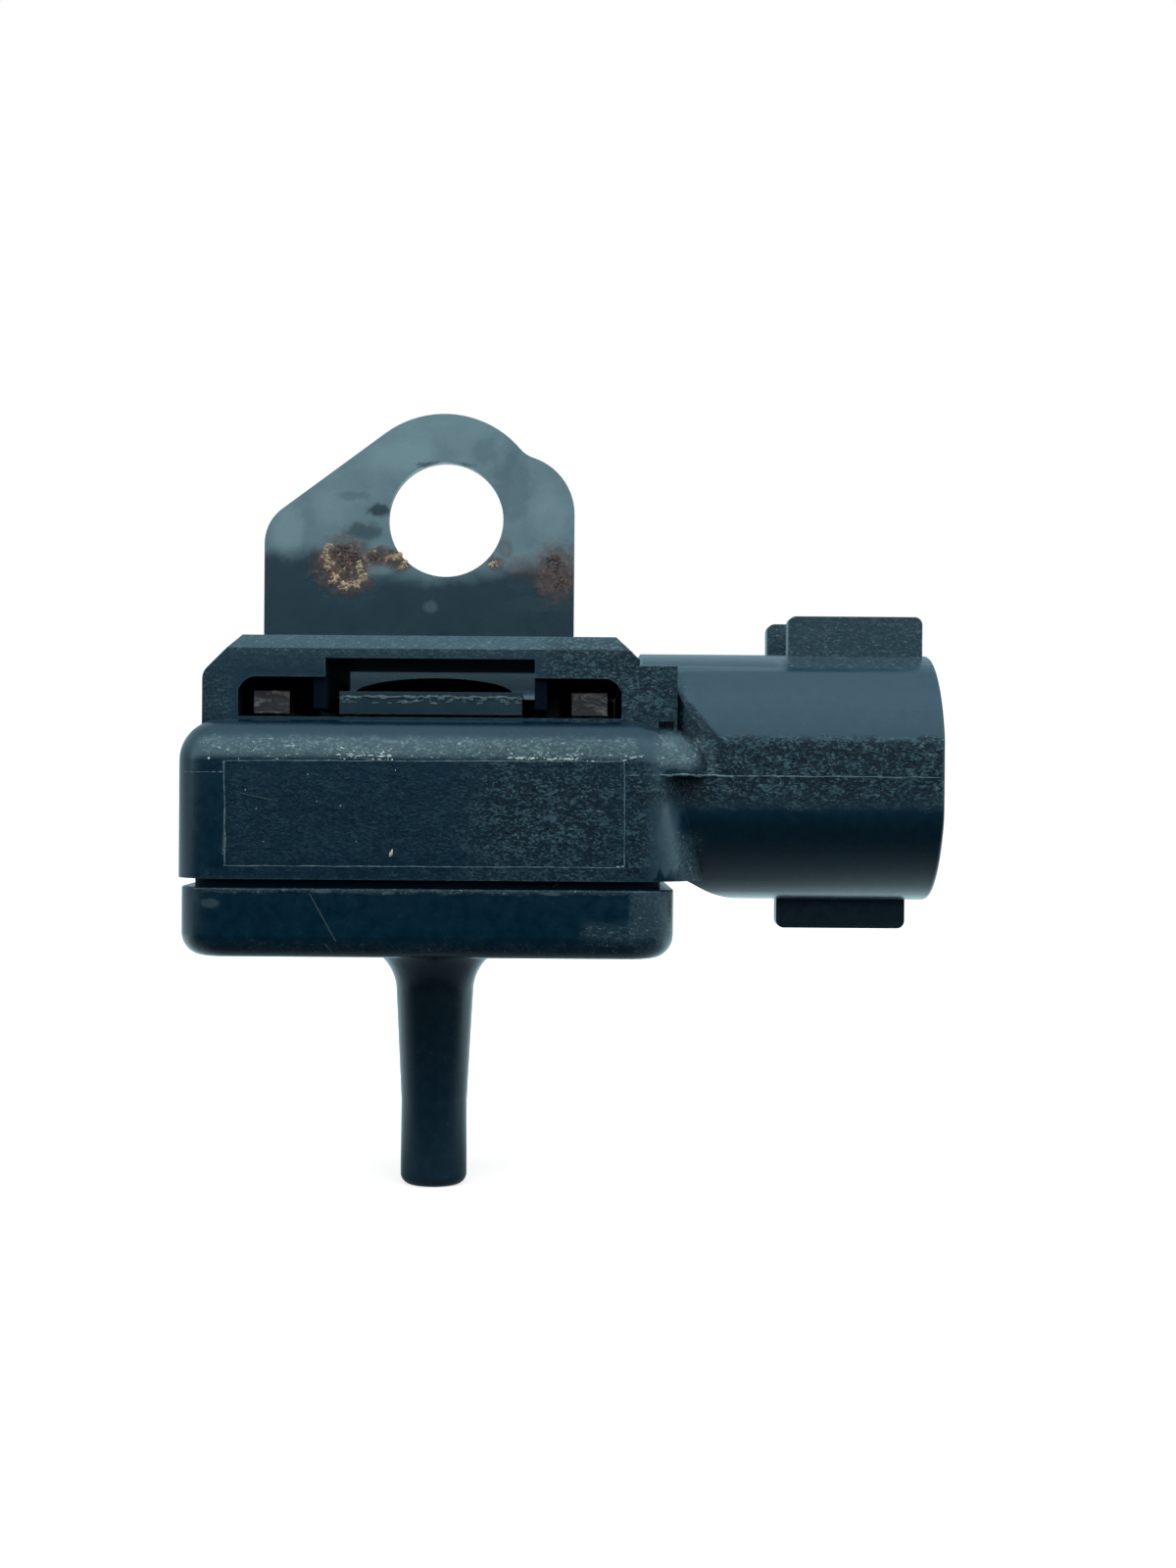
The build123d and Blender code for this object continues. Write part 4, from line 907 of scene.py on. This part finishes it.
def makeChips(cfg):
    # crumbs and runs of small flakes of random size; on the rounded edge, at angle a,
    # normal = (0, -cos a, sin a) and place = centre of the round + radius * normal
    front, out, along = cfg["front"], (0.0, -1.0, 0.0), (1.0, 0.0, 0.0)
    shapes = [crumb((x, front, z), out, along, (r, r, cfg["proud"]), 20 + n, 8, 2)
              for n, (x, z, r) in enumerate(cfg["specks"])]
    rng = np.random.default_rng(7)
    for start, stop, level, slope, many in cfg["torn"]:
        for n in range(many):
            x = start + (stop - start) * rng.random()
            z = level + slope * (x - start) + 0.10 * (rng.random() - 0.5)
            sizes = (0.05 + 0.15 * rng.random() ** 2, 0.03 + 0.04 * rng.random(), cfg["proud"])
            shapes.append(crumb((x, front, z), out, along, sizes, 200 + len(shapes), 10, 2))
    bend, top = cfg["topRound"]
    for start, stop, many in cfg["curled"]:
        for n in range(many):
            x = start + (stop - start) * rng.random()
            a = 0.02 + 0.30 * rng.random() ** 1.5
            normal = np.array([0.0, -math.cos(a), math.sin(a)])
            centre = np.array([x, front + bend, top - bend]) + bend * normal
            sizes = (0.04 + 0.13 * rng.random() ** 2, 0.03 + 0.05 * rng.random(), cfg["proud"])
            shapes.append(crumb(centre, normal, along, sizes, 200 + len(shapes), 10, 2))
    return gather(shapes)


creamSettings = {
    "place": (-2.03, -23.5, -22.56),
    "along": (0.35, 0.0, 1.0),
    "sizes": (0.26, 0.10, 0.09),
    "tones": ((0.30, 0.27, 0.18), (0.62, 0.58, 0.44)),
}
palePlastic = plainMaterial("palePlastic", *flashSettings["pale"], 0.45, size=0.35, depth=0.00003)
addPiece("mouldFlash", *makeFlash(flashSettings), palePlastic, "housing_plastic")
brightPlastic = plainMaterial("brightPlastic", *chipSettings["bright"], 0.35, size=0.25, depth=0.00003)
addPiece("frontChips", *makeChips(chipSettings), brightPlastic, "housing_plastic")
creamChip = plainMaterial("creamChip", *creamSettings["tones"], 0.6, size=0.2, depth=0.00003)
creamShape = crumb(creamSettings["place"], (0.0, -1.0, 0.0), creamSettings["along"],
                   creamSettings["sizes"], 41)
addPiece("creamCrumb", *creamShape, creamChip, "housing_plastic")
print("flash and chips made")

rustSettings = {
    "face": 0.0,  # y of the upright's front
    "tones": ((0.026, 0.016, 0.015), (0.072, 0.045, 0.040)),
    "paleTones": ((0.075, 0.046, 0.030), (0.50, 0.39, 0.25)),
    "least": 10,  # scabs in a cluster, and how many more for each mm2 of half width by half height
    "more": 60,
    # clusters of each kind: centre x, z, half width, half height
    "scabs": ((-7.2, -2.2, 0.65, 0.35), (-7.0, -3.0, 0.40, 0.55), (-6.3, -2.6, 0.45, 0.35),
              (-5.0, -2.6, 0.55, 0.25), (7.5, -3.0, 0.55, 0.60), (7.9, -4.2, 0.40, 0.40)),
    "paleScabs": ((-8.35, -2.55, 0.32, 0.42), (-8.1, -1.95, 0.35, 0.18), (-8.15, -3.35, 0.18, 0.35),
                  (-7.75, -4.3, 0.40, 0.45), (-7.0, -4.75, 0.40, 0.20), (-6.3, -4.55, 0.40, 0.25),
                  (-5.75, -3.9, 0.28, 0.42), (-6.0, -3.2, 0.18, 0.22), (-3.4, -2.62, 0.30, 0.22),
                  (-2.95, -3.2, 0.25, 0.28), (3.4, -3.15, 0.30, 0.16)),
}


def makeScabs(cfg, kind, top, seed):
    # each place is a cluster of small overlapping scabs strewn over its ellipse
    rng = np.random.default_rng(seed)
    shapes = []
    for x, z, halfX, halfZ in cfg[kind]:
        for n in range(int(cfg["least"] + cfg["more"] * halfX * halfZ)):
            turn, reach = 2 * math.pi * rng.random(), math.sqrt(rng.random())
            size = 0.06 + 0.16 * rng.random() ** 2
            centre = (x + halfX * reach * math.cos(turn), cfg["face"], z + halfZ * reach * math.sin(turn))
            along = (math.cos(turn), 0.0, math.sin(turn))
            sizes = (size * 1.5, size, top * (0.5 + rng.random()))
            shapes.append(crumb(centre, (0.0, -1.0, 0.0), along, sizes, seed + len(shapes), 14, 3))
    return gather(shapes)


burrSettings = {
    "half": 5.5,  # half the width of the tongue
    "front": -18.5,
    "edgeZ": -13.08,
    "flakesZ": -13.25,
    "flakesHigh": 0.42,
    "flakes": 70,
    "outward": (0.0, -1.0, 0.1),
    "tones": ((0.010, 0.028, 0.036), (0.105, 0.150, 0.158)),
}


def makeBurr(cfg):
    # rolled and torn upper edge of the tongue's end
    half, front, out = cfg["half"], cfg["front"], cfg["outward"]
    points = [(x, front, cfg["edgeZ"]) for x in np.linspace(-half, half, 12)]
    shapes = [ridge(points, [out] * len(points), 0.24, 0.07, 31, 0.07)]
    rng = np.random.default_rng(12)
    for n in range(cfg["flakes"]):
        x = -half + 2.0 * half * rng.random()
        z = cfg["flakesZ"] + cfg["flakesHigh"] * (rng.random() - 0.5)
        along = (1.0, 0.0, 0.2 * rng.random())
        sizes = (0.10 + 0.22 * rng.random(), 0.05 + 0.06 * rng.random(), 0.05)
        shapes.append(crumb((x, front, z), out, along, sizes, 300 + n, 10, 2))
    return gather(shapes)


threadSettings = {
    "path": ((7.75, -23.4, -23.35), (8.05, -23.3, -23.75), (7.7, -23.15, -24.1), (7.85, -22.9, -24.35),
             (7.6, -22.7, -24.5)),
    "outward": ((0.0, -1.0, 0.1),) * 5,
    "width": 0.09,
    "height": 0.05,
}
rustCrust = plainMaterial("rustCrust", *rustSettings["tones"], 0.8, size=0.25, depth=0.00005)
addPiece("rustScabs", *makeScabs(rustSettings, "scabs", 0.05, 80), rustCrust, "bracket_paint")
paleCrust = plainMaterial("paleCrust", *rustSettings["paleTones"], 0.55, size=0.28, depth=0.00005)
addPiece("paleScabs", *makeScabs(rustSettings, "paleScabs", 0.06, 120), paleCrust, "bracket_paint")
bareBurr = plainMaterial("bareBurr", *burrSettings["tones"], 0.5, size=0.35, depth=0.00004)
addPiece("tongueBurr", *makeBurr(burrSettings), bareBurr, "bracket_paint")
threadShape = ridge(threadSettings["path"], threadSettings["outward"], threadSettings["width"],
                    threadSettings["height"], 51, 0.06)
addPiece("seamThread", *threadShape, palePlastic, "housing_plastic")
print("rust, burr and thread made")

# dark tone, light tone, roughness, metallic and grain size in mm of each inner node
bladeFinish = ((0.55, 0.54, 0.50), (0.76, 0.75, 0.71), 0.32, 1.0, 0.4)
innerFinishes = {
    "terminal_supply": bladeFinish,
    "terminal_signal": bladeFinish,
    "terminal_ground": bladeFinish,
    "terminal_solder": ((0.50, 0.51, 0.52), (0.72, 0.73, 0.74), 0.25, 1.0, 0.5),
    "circuit_board": ((0.62, 0.61, 0.57), (0.80, 0.79, 0.76), 0.7, 0.0, 0.2),
    "board_adhesive": ((0.03, 0.03, 0.032), (0.07, 0.07, 0.075), 0.4, 0.0, 0.4),
    "seam_sealant": ((0.0004, 0.0060, 0.0140), (0.0010, 0.0110, 0.0220), 0.55, 0.0, 0.5),
    "cell_stem": ((0.48, 0.44, 0.34), (0.70, 0.65, 0.52), 0.3, 1.0, 0.6),
    "cell_cap": ((0.46, 0.46, 0.45), (0.66, 0.66, 0.65), 0.28, 1.0, 0.7),
    "cell_pipe": ((0.48, 0.46, 0.40), (0.68, 0.66, 0.60), 0.3, 1.0, 0.5),
    "cell_leads": ((0.60, 0.48, 0.22), (0.80, 0.66, 0.36), 0.3, 1.0, 0.3),
    "lead_glass": ((0.010, 0.030, 0.035), (0.030, 0.070, 0.080), 0.12, 0.0, 0.3),
    "glass_pedestal": ((0.50, 0.58, 0.55), (0.70, 0.76, 0.73), 0.1, 0.0, 0.8),
    "pressure_chip": ((0.16, 0.17, 0.20), (0.28, 0.30, 0.34), 0.15, 0.6, 0.5),
    "port_seal_ring": ((0.012, 0.012, 0.012), (0.030, 0.030, 0.030), 0.6, 0.0, 0.3),
    "port_filter": ((0.55, 0.52, 0.45), (0.78, 0.75, 0.68), 0.95, 0.0, 0.08),
    "amplifier_ic": ((0.012, 0.012, 0.013), (0.032, 0.032, 0.034), 0.6, 0.0, 0.1),
    "noise_capacitors": ((0.35, 0.25, 0.16), (0.50, 0.38, 0.26), 0.5, 0.0, 0.15),
    "trim_resistors": ((0.02, 0.02, 0.022), (0.10, 0.10, 0.11), 0.35, 0.0, 0.2),
    "protective_gel": ((0.62, 0.64, 0.60), (0.78, 0.80, 0.76), 0.12, 0.0, 1.5),
}
for nodeName, (dark, light, rough, metal, size) in innerFinishes.items():
    finish = plainMaterial(nodeName + "Finish", dark, light, rough, metal, size,
                           specular=0.05 if nodeName == "seam_sealant" else 0.5)
    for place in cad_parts[nodeName].material_slots:
        place.material = finish
print("inner parts finished")
